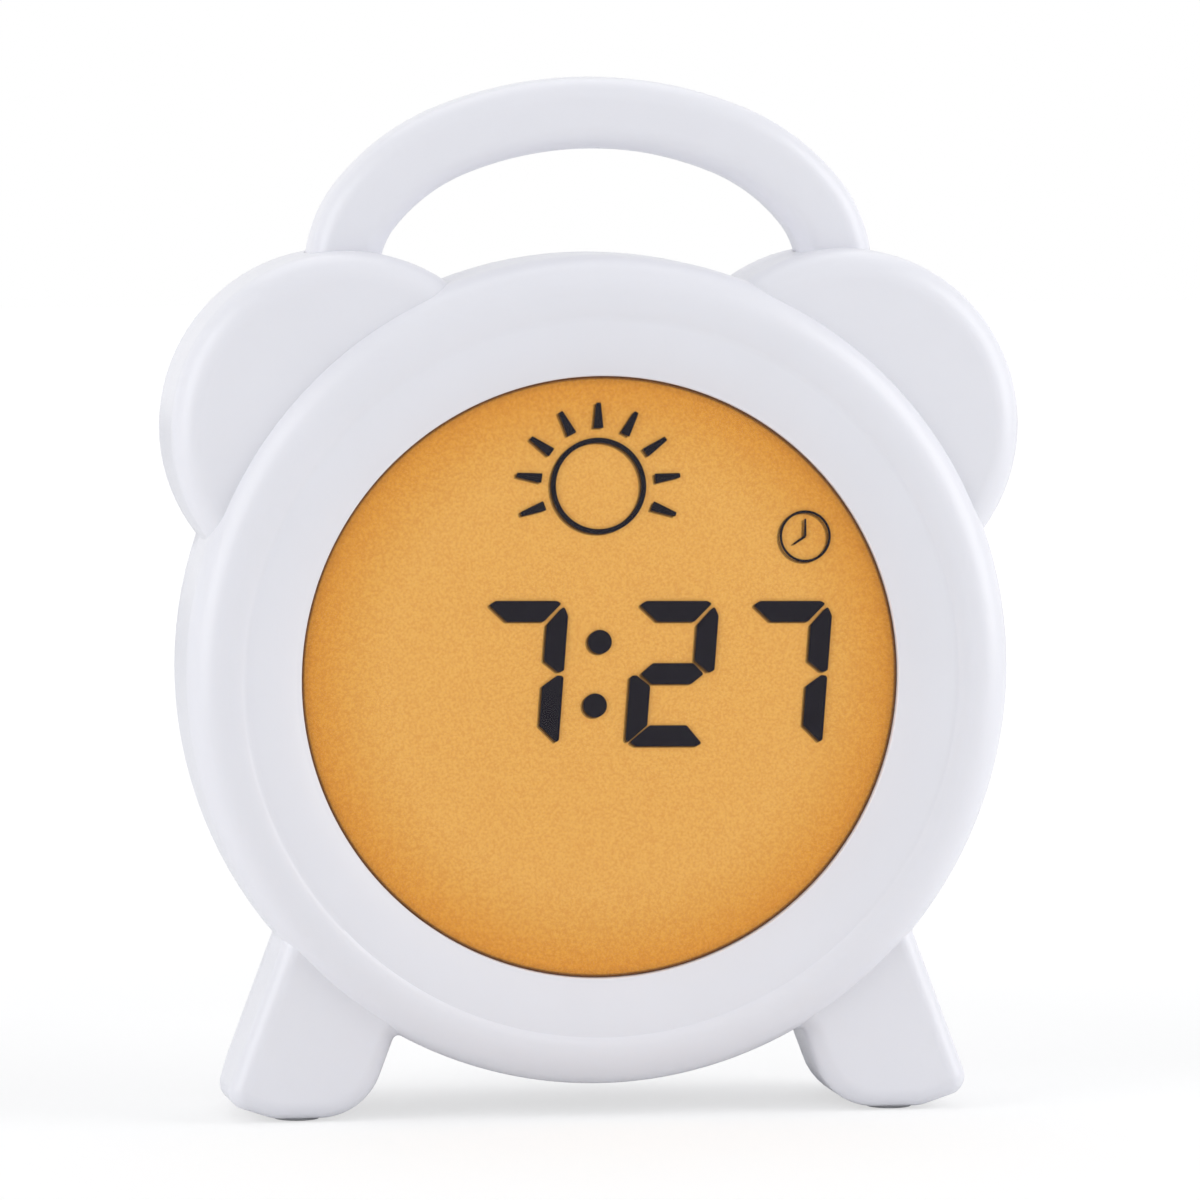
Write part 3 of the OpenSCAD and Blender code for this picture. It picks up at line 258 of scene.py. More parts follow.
class Solid:
    """A mesh that grows by bmesh operators, in metres, in the clock's own frame."""

    def __init__(self) -> None:
        """Starts with nothing."""
        self.bm = bmesh.new()

    def chain(self, points: Iterable[Sequence[float]], closed: bool) -> list:
        """Adds a chain of vertices joined by edges.

        Args:
            points: the vertices' places.
            closed: whether the last one is joined to the first.

        Returns:
            The new vertices and edges.
        """
        verts = [self.bm.verts.new(p) for p in points]
        pairs = list(zip(verts, verts[1:]))
        if closed:
            pairs.append((verts[-1], verts[0]))
        return verts + [self.bm.edges.new(pair) for pair in pairs]

    def turn(self, profile: Sequence[Point], centre: Point, steps: int, closed: bool = True) -> "Solid":
        """Spins a profile of radius and depth about an axis along Y.

        Args:
            profile: points of radius and depth.
            centre: the axis, as X and Z.
            steps: facets round the axis.
            closed: whether the profile is a closed loop, as on a ring.

        Returns:
            This solid.
        """
        chain = self.chain([(centre[0] + r, y, centre[1]) for r, y in profile], closed)
        bmesh.ops.spin(
            self.bm, geom=chain, cent=(centre[0], 0, centre[1]), axis=(0, 1, 0),
            dvec=(0, 0, 0), angle=math.tau, steps=steps, use_merge=True,
        )
        return self

    def plate(self, outline: Sequence[Point], front: float, back: float) -> "Solid":
        """Extrudes an outline of X and Z between two depths.

        Args:
            outline: the corners, in order.
            front: depth of the front face.
            back: depth of the back face.

        Returns:
            This solid.
        """
        face = self.bm.faces.new([self.bm.verts.new((x, front, z)) for x, z in outline])
        grown = bmesh.ops.extrude_face_region(self.bm, geom=[face])["geom"]
        moved = [v for v in grown if isinstance(v, bmesh.types.BMVert)]
        bmesh.ops.translate(self.bm, verts=moved, vec=(0, back - front, 0))
        return self

    def upright(self, centre: Point, radius: float, low: float, high: float) -> "Solid":
        """Adds a round bar along Z.

        Args:
            centre: the bar's axis, as X and Y.
            radius: the bar's radius.
            low: height of its lower end.
            high: height of its upper end.

        Returns:
            This solid.
        """
        bmesh.ops.create_cone(
            self.bm, cap_ends=True, segments=48, radius1=radius, radius2=radius, depth=high - low,
            matrix=Matrix.Translation((*centre, (low + high) / 2)),
        )
        return self

    def soften(
        self, wanted: Callable[[Vector, Vector], bool], width: float, segments: int, clamp: bool = True,
    ) -> "Solid":
        """Rounds the edges whose two ends pass a test.

        Args:
            wanted: the test of an edge's two ends.
            width: distance of the rounding from the edge.
            segments: facets across the rounding.
            clamp: whether short neighbouring edges may narrow the rounding.

        Returns:
            This solid.
        """
        edges = [e for e in self.bm.edges if wanted(e.verts[0].co, e.verts[1].co)]
        bmesh.ops.bevel(
            self.bm, geom=edges, offset=width, segments=segments, profile=0.5,
            affect="EDGES", material=-1, clamp_overlap=clamp,
        )
        return self

    def mirrored(self) -> "Solid":
        """Adds a copy of everything, mirrored left to right.

        Returns:
            This solid.
        """
        copies = bmesh.ops.duplicate(self.bm, geom=self.bm.verts[:] + self.bm.edges[:] + self.bm.faces[:])
        verts = [v for v in copies["geom"] if isinstance(v, bmesh.types.BMVert)]
        bmesh.ops.scale(self.bm, vec=(-1, 1, 1), verts=verts)
        return self

    def shown(self, name: str) -> bpy.types.Object:
        """Makes the object as the mesh stands.

        Args:
            name: the object's name.

        Returns:
            The new object.
        """
        mesh = bpy.data.meshes.new(name)
        self.bm.to_mesh(mesh)
        self.bm.free()
        return in_scene(name, mesh)

    def object(self, name: str) -> bpy.types.Object:
        """Closes the seams, turns the faces outwards and makes the object.

        Args:
            name: the object's name.

        Returns:
            The new object.
        """
        bmesh.ops.remove_doubles(self.bm, verts=self.bm.verts, dist=TINY)
        bmesh.ops.recalc_face_normals(self.bm, faces=self.bm.faces)
        return self.shown(name)


class Joining(Enum):
    """How a solid is combined with others."""

    UNION = "UNION"
    DIFFERENCE = "DIFFERENCE"


def combine(base: bpy.types.Object, others: Sequence[bpy.types.Object], how: Joining) -> None:
    """Joins solids to a base or cuts them from it, and removes them.

    Args:
        base: the solid that stays.
        others: the solids that are used up.
        how: union or difference.
    """
    for other in others:
        step = base.modifiers.new(other.name, "BOOLEAN")
        step.operation = how.value
        step.solver = "EXACT"
        step.object = other
    graph = bpy.context.evaluated_depsgraph_get()
    mesh = bpy.data.meshes.new_from_object(base.evaluated_get(graph))
    base.modifiers.clear()
    base.data = mesh
    for other in others:
        bpy.data.objects.remove(other, do_unlink=True)


# ---------- Finishes ----------


def linear(colour: Colour, scale: float = 1.0) -> tuple[float, float, float, float]:
    """Turns a display colour of 0 to 255 into a linear one with alpha.

    Args:
        colour: red, green and blue.
        scale: factor on the linear colour.

    Returns:
        The linear colour and an alpha of 1.
    """
    parts = [c / 255 for c in colour]
    straight = [p / 12.92 if p <= 0.04045 else ((p + 0.055) / 1.055) ** 2.4 for p in parts]
    return (*(min(1.0, s * scale) for s in straight), 1.0)


class Nodes:
    """Adds and joins the nodes of one material or of the world."""

    def __init__(self, owner: bpy.types.Material | bpy.types.World) -> None:
        """Takes the nodes' owner and finds its shader.

        Args:
            owner: the material or the world.
        """
        owner.use_nodes = True
        self.tree = owner.node_tree
        self.shader = self.tree.nodes.get("Principled BSDF")
        self.output = next(node for node in self.tree.nodes if "Output" in node.bl_idname)

    def feed(self, target: Socket, source: object) -> None:
        """Joins an output to an input, or sets the input to a plain value.

        Args:
            target: the input.
            source: the output or the value.
        """
        if isinstance(source, Socket):
            self.tree.links.new(source, target)
        else:
            target.default_value = source

    def add(self, kind: str, operation: str | None = None, **inputs: object) -> bpy.types.Node:
        """Adds a node.

        Args:
            kind: its type, without the leading ShaderNode.
            operation: what it works out, where its type leaves that open.
            inputs: values or outputs for its inputs by name, with _ for a blank.

        Returns:
            The new node.
        """
        node = self.tree.nodes.new("ShaderNode" + kind)
        if operation is not None:
            node.operation = operation
        for name, source in inputs.items():
            self.feed(node.inputs[name.replace("_", " ")], source)
        return node

    def shade(self, **inputs: object) -> None:
        """Feeds the shader's inputs by name, with _ for a blank."""
        for name, source in inputs.items():
            self.feed(self.shader.inputs[name.replace("_", " ")], source)

    def either(self, factor: Socket, first: bpy.types.Node, second: bpy.types.Node) -> None:
        """Shows a blend of two shaders on the owner's surface.

        Args:
            factor: 0 for the first, 1 for the second.
            first: the first shader.
            second: the second shader.
        """
        node = self.add("MixShader", Fac=factor)
        self.feed(node.inputs[1], first.outputs[0])
        self.feed(node.inputs[2], second.outputs[0])
        self.feed(self.output.inputs["Surface"], node.outputs[0])

    def place(self, stretch: Triple = (1, 1, 1), centre: Triple = (0, 0, 0)) -> Socket:
        """Gives object coordinates about a centre.

        Args:
            stretch: factor along each axis.
            centre: where they count from.

        Returns:
            The coordinates.
        """
        shift = [-c * s for c, s in zip(centre, stretch)]
        here = self.add("TexCoord").outputs["Object"]
        return self.add("Mapping", Vector=here, Location=shift, Scale=stretch).outputs["Vector"]

    def distance(self, stretch: Triple = (1, 1, 1), centre: Triple = (0, 0, 0)) -> Socket:
        """Gives the distance from a centre, in object coordinates stretched along each axis."""
        return self.add("VectorMath", "LENGTH", Vector=self.place(stretch, centre)).outputs["Value"]

    def noise(self, scale: float, detail: float) -> Socket:
        """Gives a noise from 0 to 1, of a scale per metre."""
        return self.add("TexNoise", Scale=scale, Detail=detail, Vector=self.place()).outputs["Fac"]

    def ranged(self, value: Socket, low: float, high: float, span: Point = (0.3, 0.7)) -> Socket:
        """Maps a value from a span to a new range, from low to high."""
        node = self.add("MapRange", Value=value, From_Min=span[0], From_Max=span[1], To_Min=low, To_Max=high)
        return node.outputs["Result"]

    def mixed(self, factor: Socket | float, first: object, second: object, how: str = "MIX") -> Socket:
        """Mixes two colours.

        Args:
            factor: how much of the second there is.
            first: the first colour, a value or another node's output.
            second: the second colour.
            how: the mix's blend type.

        Returns:
            The mixed colour.
        """
        node = self.add("Mix", Factor=factor)
        node.data_type = "RGBA"
        node.blend_type = how
        self.feed(node.inputs[6], first)
        self.feed(node.inputs[7], second)
        return node.outputs[2]

    def ramp(self, value: Socket, stops: Sequence[tuple]) -> Socket:
        """Colours a value by stops.

        Args:
            value: what is coloured.
            stops: each stop's place, its colour and, where it has one, the factor on it.

        Returns:
            The colour.
        """
        node = self.add("ValToRGB", Fac=value)
        band = node.color_ramp.elements
        for place, *shade in stops[1:-1]:
            band.new(place).color = linear(*shade)
        for element, (place, *shade) in ((band[0], stops[0]), (band[-1], stops[-1])):
            element.position = place
            element.color = linear(*shade)
        return node.outputs["Color"]

    def bump(self, height: Socket, depth: float, edge: float = 0.0) -> None:
        """Raises the surface and eases its edges.

        Args:
            height: the height, from 0 to 1.
            depth: how far a height of 1 stands out, in metres.
            edge: radius that the edges are eased to, in metres.
        """
        node = self.add("Bump", Strength=1.0, Distance=depth, Height=height)
        if edge > 0:
            eased = self.add("Bevel", Radius=edge)
            eased.samples = EDGE_SAMPLES
            self.feed(node.inputs["Normal"], eased.outputs["Normal"])
        self.shade(Normal=node.outputs["Normal"])

    def wave(self, kind: str, direction: str, **inputs: object) -> Socket:
        """Gives stripes or rings.

        Args:
            kind: BANDS or RINGS.
            direction: the axis that they run across, or SPHERICAL.
            inputs: the wave's inputs, such as its scale per metre.

        Returns:
            The height of the wave, from 0 to 1.
        """
        node = self.add("TexWave", **inputs)
        node.wave_type = kind
        setattr(node, kind.lower() + "_direction", direction)
        return node.outputs["Fac"]


@dataclass(frozen=True)
class Finish:
    """A moulded, drawn or painted surface, with its colour, gloss and grain."""

    name: str
    colour: Colour
    roughness: float = 0.4
    gloss_spread: float = 0.06
    metallic: float = 0.0
    specular: float = 0.5
    shade: float = 0.96
    patch: float = 60.0
    grain: float = 2200.0
    relief: float = 0.01 * MM
    edge: float = 0.0

    def material(self) -> bpy.types.Material:
        """Makes this finish's material at its first use.

        Returns:
            The material.
        """
        found = bpy.data.materials.get(self.name)
        if found is None:
            found = bpy.data.materials.new(self.name)
            nodes = Nodes(found)
            nodes.shade(Metallic=self.metallic, Specular_IOR_Level=self.specular)
            self.dress(nodes)
        return found

    def dress(self, nodes: Nodes) -> None:
        """Colours the surface, breaks up its gloss and gives it a fine grain.

        Args:
            nodes: the material's nodes.
        """
        patches = nodes.ranged(nodes.noise(self.patch, 4.0), 0, 1)
        colour = nodes.mixed(patches, linear(self.colour, self.shade), linear(self.colour))
        nodes.shade(Base_Color=colour)
        self.roughen(nodes)

    def roughen(self, nodes: Nodes) -> None:
        """Spreads the roughness and raises the grain.

        Args:
            nodes: the material's nodes.
        """
        grain = nodes.noise(self.grain, 2.0)
        low, high = self.roughness - self.gloss_spread, self.roughness + self.gloss_spread
        nodes.shade(Roughness=nodes.ranged(grain, low, high))
        nodes.bump(grain, self.relief, self.edge)


@dataclass(frozen=True)
class ShellPlastic(Finish):
    """The housings' satin white plastic, with a spark-eroded grain and a little depth of light."""

    depth: float = 0.6 * MM
    scatter: float = 0.06
    tint: Triple = (1.0, 0.9, 0.8)

    def dress(self, nodes: Nodes) -> None:
        """Adds light that scatters just under the surface."""
        super().dress(nodes)
        nodes.shade(Subsurface_Weight=self.scatter, Subsurface_Radius=self.tint, Subsurface_Scale=self.depth)


@dataclass(frozen=True)
class AmberFilter(Finish):
    """The lit amber face, with its light painted in: paler in the middle and darker orange toward the rim as
    its backlight fades, and a painted shadow line at its edge.
    """

    centre: Triple = (0, 0, 68 * MM)
    middle: Colour = (216, 155, 71)
    outer: Colour = (213, 147, 59)
    rim: Colour = (210, 141, 50)
    # painted shadow: the dark line round the face's edge, where the opening's lip shades it
    painted_shadow_line: Colour = (92, 56, 24)
    glow: float = 0.12
    speckle: float = 0.38
    speckle_scale: float = 2900.0
    speckle_span: Point = (0.36, 0.64)
    speckle_dark: Colour = (150, 140, 120)
    speckle_light: Colour = (225, 220, 200)

    def dress(self, nodes: Nodes) -> None:
        """Colours the face by its distance from the middle, under a fine speckle.

        Args:
            nodes: the material's nodes.
        """
        # painted light and shade: paler in the middle, darker toward the rim, a darker copy of the rim
        # colour, then the painted shadow line at the very edge
        bands = nodes.ramp(nodes.distance((1 / DISPLAY_R, 0, 1 / DISPLAY_R), self.centre), [
            (0.72, self.colour), (0.83, self.middle), (0.912, self.outer),
            (0.968, self.rim), (0.988, self.rim, 0.86), (0.994, self.painted_shadow_line),
        ])
        fine = nodes.ranged(nodes.noise(self.speckle_scale, 2.0), 0, 1, self.speckle_span)
        speckled = nodes.mixed(fine, linear(self.speckle_dark), linear(self.speckle_light))
        lit = nodes.mixed(self.speckle, bands, speckled, "SOFT_LIGHT")
        nodes.shade(Base_Color=lit, Emission_Color=lit, Emission_Strength=self.glow)
        self.roughen(nodes)


@dataclass(frozen=True)
class ClearSheet(Finish):
    """A sheet whose cover is the share of what lies behind it that it hides."""

    cover: float = 0.008

    def dress(self, nodes: Nodes) -> None:
        """Lets the rest of the light through."""
        super().dress(nodes)
        nodes.shade(Alpha=self.cover)


@dataclass(frozen=True)
class CircuitBoard(Finish):
    """Solder resist over copper tracks and pads."""

    track: Colour = (70, 130, 84)
    pad: Colour = (205, 196, 170)
    pitch: float = 260.0
    track_edge: Point = (0.42, 0.48)
    pad_edge: Point = (0.1, 0.13)

    def dress(self, nodes: Nodes) -> None:
        """Lays tracks under the resist and pads through it.

        Args:
            nodes: the material's nodes.
        """
        cells = nodes.add("TexVoronoi", Scale=self.pitch, Vector=nodes.place((1, 0, 1)))
        cells.distance = "MANHATTAN"
        tracks = nodes.ranged(cells.outputs["Distance"], 1, 0, self.track_edge)
        pads = nodes.ranged(cells.outputs["Distance"], 1, 0, self.pad_edge)
        resist = nodes.mixed(tracks, linear(self.colour), linear(self.track))
        nodes.shade(Base_Color=nodes.mixed(pads, resist, linear(self.pad)))
        self.roughen(nodes)


@dataclass(frozen=True)
class CellSleeve(Finish):
    """A dry cell's shrink sleeve: one colour round the middle, another band at an end, bare steel caps."""

    band: Colour = (206, 208, 210)
    cap: Colour = (190, 190, 192)
    length: float = 44.5 * MM

    def dress(self, nodes: Nodes) -> None:
        """Colours the sleeve along its length.

        Args:
            nodes: the material's nodes.
        """
        along = nodes.add("SeparateXYZ", Vector=nodes.place((1 / self.length, 1, 1)))
        where = nodes.ranged(along.outputs["X"], 0, 1, (-0.5, 0.5))
        bands = nodes.ramp(where, [
            (0.0, self.cap), (0.03, self.band), (0.26, self.band),
            (0.27, self.colour), (0.95, self.colour), (0.97, self.cap),
        ])
        nodes.shade(Base_Color=bands)
        self.roughen(nodes)


@dataclass(frozen=True)
class Striped(Finish):
    """A surface with fine stripes across X, such as the tracks of a flat cable."""

    other: Colour = (240, 240, 240)
    pitch: float = 1.0 * MM

    def dress(self, nodes: Nodes) -> None:
        """Stripes the colour.

        Args:
            nodes: the material's nodes.
        """
        stripes = nodes.wave("BANDS", "X", Vector=nodes.place(), Scale=1 / (self.pitch * math.pi))
        nodes.shade(Base_Color=nodes.mixed(stripes, linear(self.colour), linear(self.other)))
        self.roughen(nodes)


@dataclass(frozen=True)
class ConePaper(Finish):
    """Pressed paper with rings about the speaker's axis."""

    centre: Triple = (0, 0, 82 * MM)
    ring_scale: float = 140.0
    ring_relief: float = 0.15 * MM

    def dress(self, nodes: Nodes) -> None:
        """Shades the fibres and presses the rings.

        Args:
            nodes: the material's nodes.
        """
        super().dress(nodes)
        about = nodes.place((1, 0, 1), self.centre)
        rings = nodes.wave("RINGS", "SPHERICAL", Vector=about, Scale=self.ring_scale, Distortion=0.4)
        nodes.bump(rings, self.ring_relief)


SHELL = ShellPlastic("shell_white", WHITE, roughness=0.34, shade=0.985, relief=0.006 * MM)
CUT_SHELL = replace(SHELL, name="shell_white_eased", edge=0.35 * MM)
KEY = ShellPlastic("key_white", (224, 225, 231), roughness=0.4, shade=0.97, relief=0.006 * MM, edge=0.2 * MM)
AMBER = AmberFilter(
    "amber_filter", (220, 162, 81), roughness=0.5, specular=0.25, grain=1900.0, relief=0.02 * MM,
)
COVER = ClearSheet("clear_cover", (250, 246, 238), roughness=0.12, gloss_spread=0.03, specular=0.3)
INK = Finish(
    "segment_ink", (18, 15, 27), roughness=0.8, specular=0.1, shade=0.97, patch=500.0, relief=0.002 * MM,
)
SHADOW = ClearSheet("segment_shadow", (96, 62, 30), roughness=0.8, specular=0.0, cover=0.2)
MARK = Finish("mark_grey", (150, 153, 164), roughness=0.45, shade=0.9, patch=700.0)
STEEL = Finish("zinc_steel", (186, 188, 193), roughness=0.3, metallic=1.0, shade=0.85, patch=900.0)
NICKEL = Finish("nickel", (196, 192, 182), roughness=0.24, metallic=1.0, shade=0.88, patch=500.0)
RUBBER = Finish("clear_rubber", (205, 206, 210), roughness=0.78, shade=0.9, patch=400.0, relief=0.04 * MM)
BLACK = Finish("black_moulding", (43, 42, 46), roughness=0.45, shade=0.8, patch=300.0)
TRAY = Finish("tray_white", (250, 250, 246), roughness=0.6, shade=0.97)
FILM = Finish("diffuser_film", (244, 242, 234), roughness=0.7, shade=0.97, relief=0.02 * MM)
GLASS = Finish("lcd_glass", (196, 178, 138), roughness=0.16, shade=0.94, patch=90.0)
ADHESIVE = Finish("black_adhesive", (38, 37, 40), roughness=0.65, shade=0.8, patch=500.0)
BOARD = CircuitBoard("solder_resist", (46, 107, 69), roughness=0.3)
LED = Finish("led_phosphor", (247, 226, 150), roughness=0.35, shade=0.9, patch=900.0)
RIBBON = Striped("polyimide_film", (196, 112, 44), roughness=0.3, other=(222, 150, 76))
CABLE = Striped("white_cable", (232, 232, 230), roughness=0.45, other=(188, 190, 194))
LEAD = Finish("red_wire", (176, 44, 42), roughness=0.42, shade=0.85, patch=600.0)
SWITCH = Finish("switch_plastic", (217, 212, 200), roughness=0.42, shade=0.93, patch=500.0)
MAGNET = Finish("ferrite", (58, 57, 60), roughness=0.55, shade=0.75, patch=700.0, relief=0.03 * MM)
CONE = ConePaper("cone_paper", (52, 51, 53), roughness=0.85, shade=0.7, patch=900.0)
GASKET = Finish("gasket_foam", (92, 94, 99), roughness=0.95, shade=0.7, patch=1500.0, relief=0.08 * MM)
BLUE_CELL = CellSleeve("blue_sleeve", (63, 110, 154), roughness=0.28)
GREEN_CELL = CellSleeve("green_sleeve", (79, 125, 74), roughness=0.28)

NODE_FINISHES: dict[str, Finish] = {
    "lens_adhesive": ADHESIVE, "lcd_panel": GLASS, "diffuser_sheet": FILM, "reflector_tray": TRAY,
    "tray_screws": STEEL, "main_board": BOARD, "backlight_leds": LED, "board_components": BLACK,
    "board_screws": STEEL, "lcd_ribbon": RIBBON, "control_board": BOARD, "control_connector": BLACK,
    "control_board_screws": STEEL, "link_cable": CABLE, "tact_switches": BLACK,
    "slide_switch": STEEL, "slide_actuator": BLACK, "usb_socket": NICKEL, "usb_tongue": BLACK,
    "speaker_frame": STEEL, "speaker_cone": CONE, "speaker_magnet": MAGNET, "speaker_gasket": GASKET,
    "speaker_screws": STEEL, "speaker_leads": LEAD, "battery_1": BLUE_CELL, "battery_2": GREEN_CELL,
    "battery_3": BLUE_CELL, "battery_springs": NICKEL, "contact_plates": NICKEL, "battery_leads": LEAD,
    "mode_slider": KEY, **{icon.value + "_plunger": SWITCH for icon in Icon},
}


# ---------- Pieces ----------


def dressed(
    piece: bpy.types.Object, finish: Finish, body: Body,
    stands_for: Sequence[str] = (), crease: float = 32.0,
) -> None:
    """Smooths a piece, gives it its finish and lets it ride on its body.

    Args:
        piece: the object.
        finish: what its surface is.
        body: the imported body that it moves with.
        stands_for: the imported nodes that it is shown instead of.
        crease: angle between two faces, in degrees, past which their edge stays sharp.
    """
    piece.data.materials.clear()
    piece.data.materials.append(finish.material())
    piece.data.shade_smooth()
    piece.data.set_sharp_from_angle(angle=math.radians(crease))
    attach(piece, body.value)
    if stands_for:
        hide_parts(*stands_for)
    log.info("%s: %d faces on %s", piece.name, len(piece.data.polygons), body.value)


def even_shading(piece: bpy.types.Object) -> None:
    """Keeps broad faces flat beside their rounded edges.

    Args:
        piece: the object.
    """
    step = piece.modifiers.new("even shading", "WEIGHTED_NORMAL")
    step.keep_sharp = True
    step.weight = BROAD_FACE_WEIGHT


def copy_of(node: str, name: str) -> bpy.types.Object:
    """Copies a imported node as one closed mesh.

    Args:
        node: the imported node.
        name: the new piece's name.

    Returns:
        The new object.
    """
    solid = Solid()
    solid.bm.from_mesh(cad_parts[node].data)
    bmesh.ops.remove_doubles(solid.bm, verts=solid.bm.verts, dist=TINY)
    bmesh.ops.dissolve_limit(
        solid.bm, angle_limit=math.radians(FLAT_ANGLE), use_dissolve_boundaries=False,
        verts=solid.bm.verts[:], edges=solid.bm.edges[:], delimit=set(),
    )
    return solid.shown(name)


@dataclass(frozen=True)
class Layout:
    """Sizes and places that several sub-assemblies share, in metres."""

    crest_y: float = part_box("front_housing")[0].y
    display_z: float = (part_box("display_lens")[0].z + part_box("display_lens")[1].z) / 2
    lens_y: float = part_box("display_lens")[0].y
    window_drop: float = 1 * MM
    split_depth: float = 15.5 * MM
    face_r: float = 64 * MM
    wall: float = 2.2 * MM
    ear_setback: float = 3 * MM

    @property
    def face_z(self) -> float:
        """Height of the face ring's centre."""
        return self.display_z + self.window_drop

    @property
    def split_y(self) -> float:
        """Depth of the parting line."""
        return self.crest_y + self.split_depth

    @property
    def ear_y(self) -> float:
        """Depth of the ears' and feet's front faces."""
        return self.crest_y + self.ear_setback


LAYOUT = Layout()


@dataclass
class Lobe:
    """An outline that grows out of the face ring, with small fillets where it meets it."""

    ring_r: float = LAYOUT.face_r
    fillet: float = 0.9 * MM
    inset: float = 10 * MM
    steps: int = 5

    def meeting(self, centre: Point) -> Point:
        """Gives the place on the ring where the fillet with that centre ends."""
        scale = self.ring_r / math.hypot(*centre)
        return centre[0] * scale, centre[1] * scale

    def inside(self, point: Point) -> Point:
        """Gives the place inside the ring behind a point on it."""
        scale = (self.ring_r - self.inset) / self.ring_r
        return point[0] * scale, point[1] * scale


@dataclass
class Ear(Lobe):
    """One round ear, seen from the front, about the ring's centre."""

    centre: Point = (38.7 * MM, 37.3 * MM)
    radius: float = 27.3 * MM

    def outline(self) -> list[Point]:
        """Gives the ear's outline: a fillet, the round and the other fillet.

        Returns:
            The outline's points.
        """
        span = math.hypot(*self.centre)
        ring, ear = self.ring_r + self.fillet, self.radius + self.fillet
        half = math.degrees(math.acos((span**2 + ring**2 - ear**2) / (2 * span * ring)))
        middle = bearing(self.centre)
        low, high = polar(ring, middle - half), polar(ring, middle + half)
        share = self.radius / ear
        cx, cy = self.centre
        touch = [(cx + (x - cx) * share, cy + (y - cy) * share) for x, y in (low, high)]
        first, last = (bearing((x - cx, y - cy)) for x, y in touch)
        round_edge = arc(self.centre, (self.radius, self.radius), first, last + 360 * (last < first), 72)
        start, end = self.meeting(low), self.meeting(high)
        return [
            self.inside(start), *sweep_between(low, start, touch[0], self.steps)[:-1], *round_edge,
            *sweep_between(high, touch[1], end, self.steps)[1:], self.inside(end),
        ]


@dataclass
class Foot(Lobe):
    """One leaning foot, seen from the front, about the ring's centre."""

    outer: Point = (49.4 * MM, -61.5 * MM)
    outer_r: float = 7 * MM
    inner: Point = (43.5 * MM, -58.5 * MM)
    inner_r: float = 10 * MM
    corner_r: float = 3 * MM
    corner_lift: float = 1.5 * MM
    lean: float = 20.5

    def corner(self) -> tuple[Point, float]:
        """Finds the outer corner, where the sole's slope turns up into the side.

        Returns:
            The corner's centre, and the bearing at which the slope meets it.
        """
        lean = math.radians(self.lean)
        less = self.outer_r - self.corner_r
        x = self.outer[0] + (less + (less - self.corner_lift) * math.sin(lean)) / math.cos(lean)
        z = self.outer[1] - less + self.corner_lift
        way = (x - self.outer[0], z - self.outer[1])
        return (x, z), bearing(way) - math.degrees(math.acos(less / math.hypot(*way)))

    def side_fillet(self, start: Point, away: Point) -> tuple[Point, Point]:
        """Finds the fillet between the ring and a straight side of the foot.

        Args:
            start: where the side leaves its bottom corner.
            away: the unit direction out of the foot, square to the side.

        Returns:
            The fillet's centre, and where it touches the side.
        """
        up = polar(1, 90 + self.lean)
        base = Vector((start[0] + away[0] * self.fillet, start[1] + away[1] * self.fillet))
        along = base.dot(Vector(up))
        gone = -along - math.sqrt(along**2 - base.length_squared + (self.ring_r + self.fillet) ** 2)
        centre = (base.x + up[0] * gone, base.y + up[1] * gone)
        return centre, (centre[0] - away[0] * self.fillet, centre[1] - away[1] * self.fillet)

    def outline(self) -> list[Point]:
        """Gives the foot's outline, from its inner side round the bottom to its outer side.

        Returns:
            The outline's points.
        """
        out = polar(1, self.lean)
        back = (-out[0], -out[1])
        inner_start = (self.inner[0] + back[0] * self.inner_r, self.inner[1] + back[1] * self.inner_r)
        outer_start = (self.outer[0] + out[0] * self.outer_r, self.outer[1] + out[1] * self.outer_r)
        corner, slope = self.corner()
        slope %= 360
        inner_centre, inner_touch = self.side_fillet(inner_start, back)
        outer_centre, outer_touch = self.side_fillet(outer_start, out)
        start, end = self.meeting(inner_centre), self.meeting(outer_centre)
        return [
            self.inside(start), *sweep_between(inner_centre, start, inner_touch, self.steps),
            *arc(self.inner, (self.inner_r, self.inner_r), 180 + self.lean, 270, 16),
            *arc(self.outer, (self.outer_r, self.outer_r), 270, slope, 6),
            *arc(corner, (self.corner_r, self.corner_r), slope, 360 + self.lean, 12),
            *sweep_between(outer_centre, outer_touch, end, self.steps), self.inside(end),
        ]


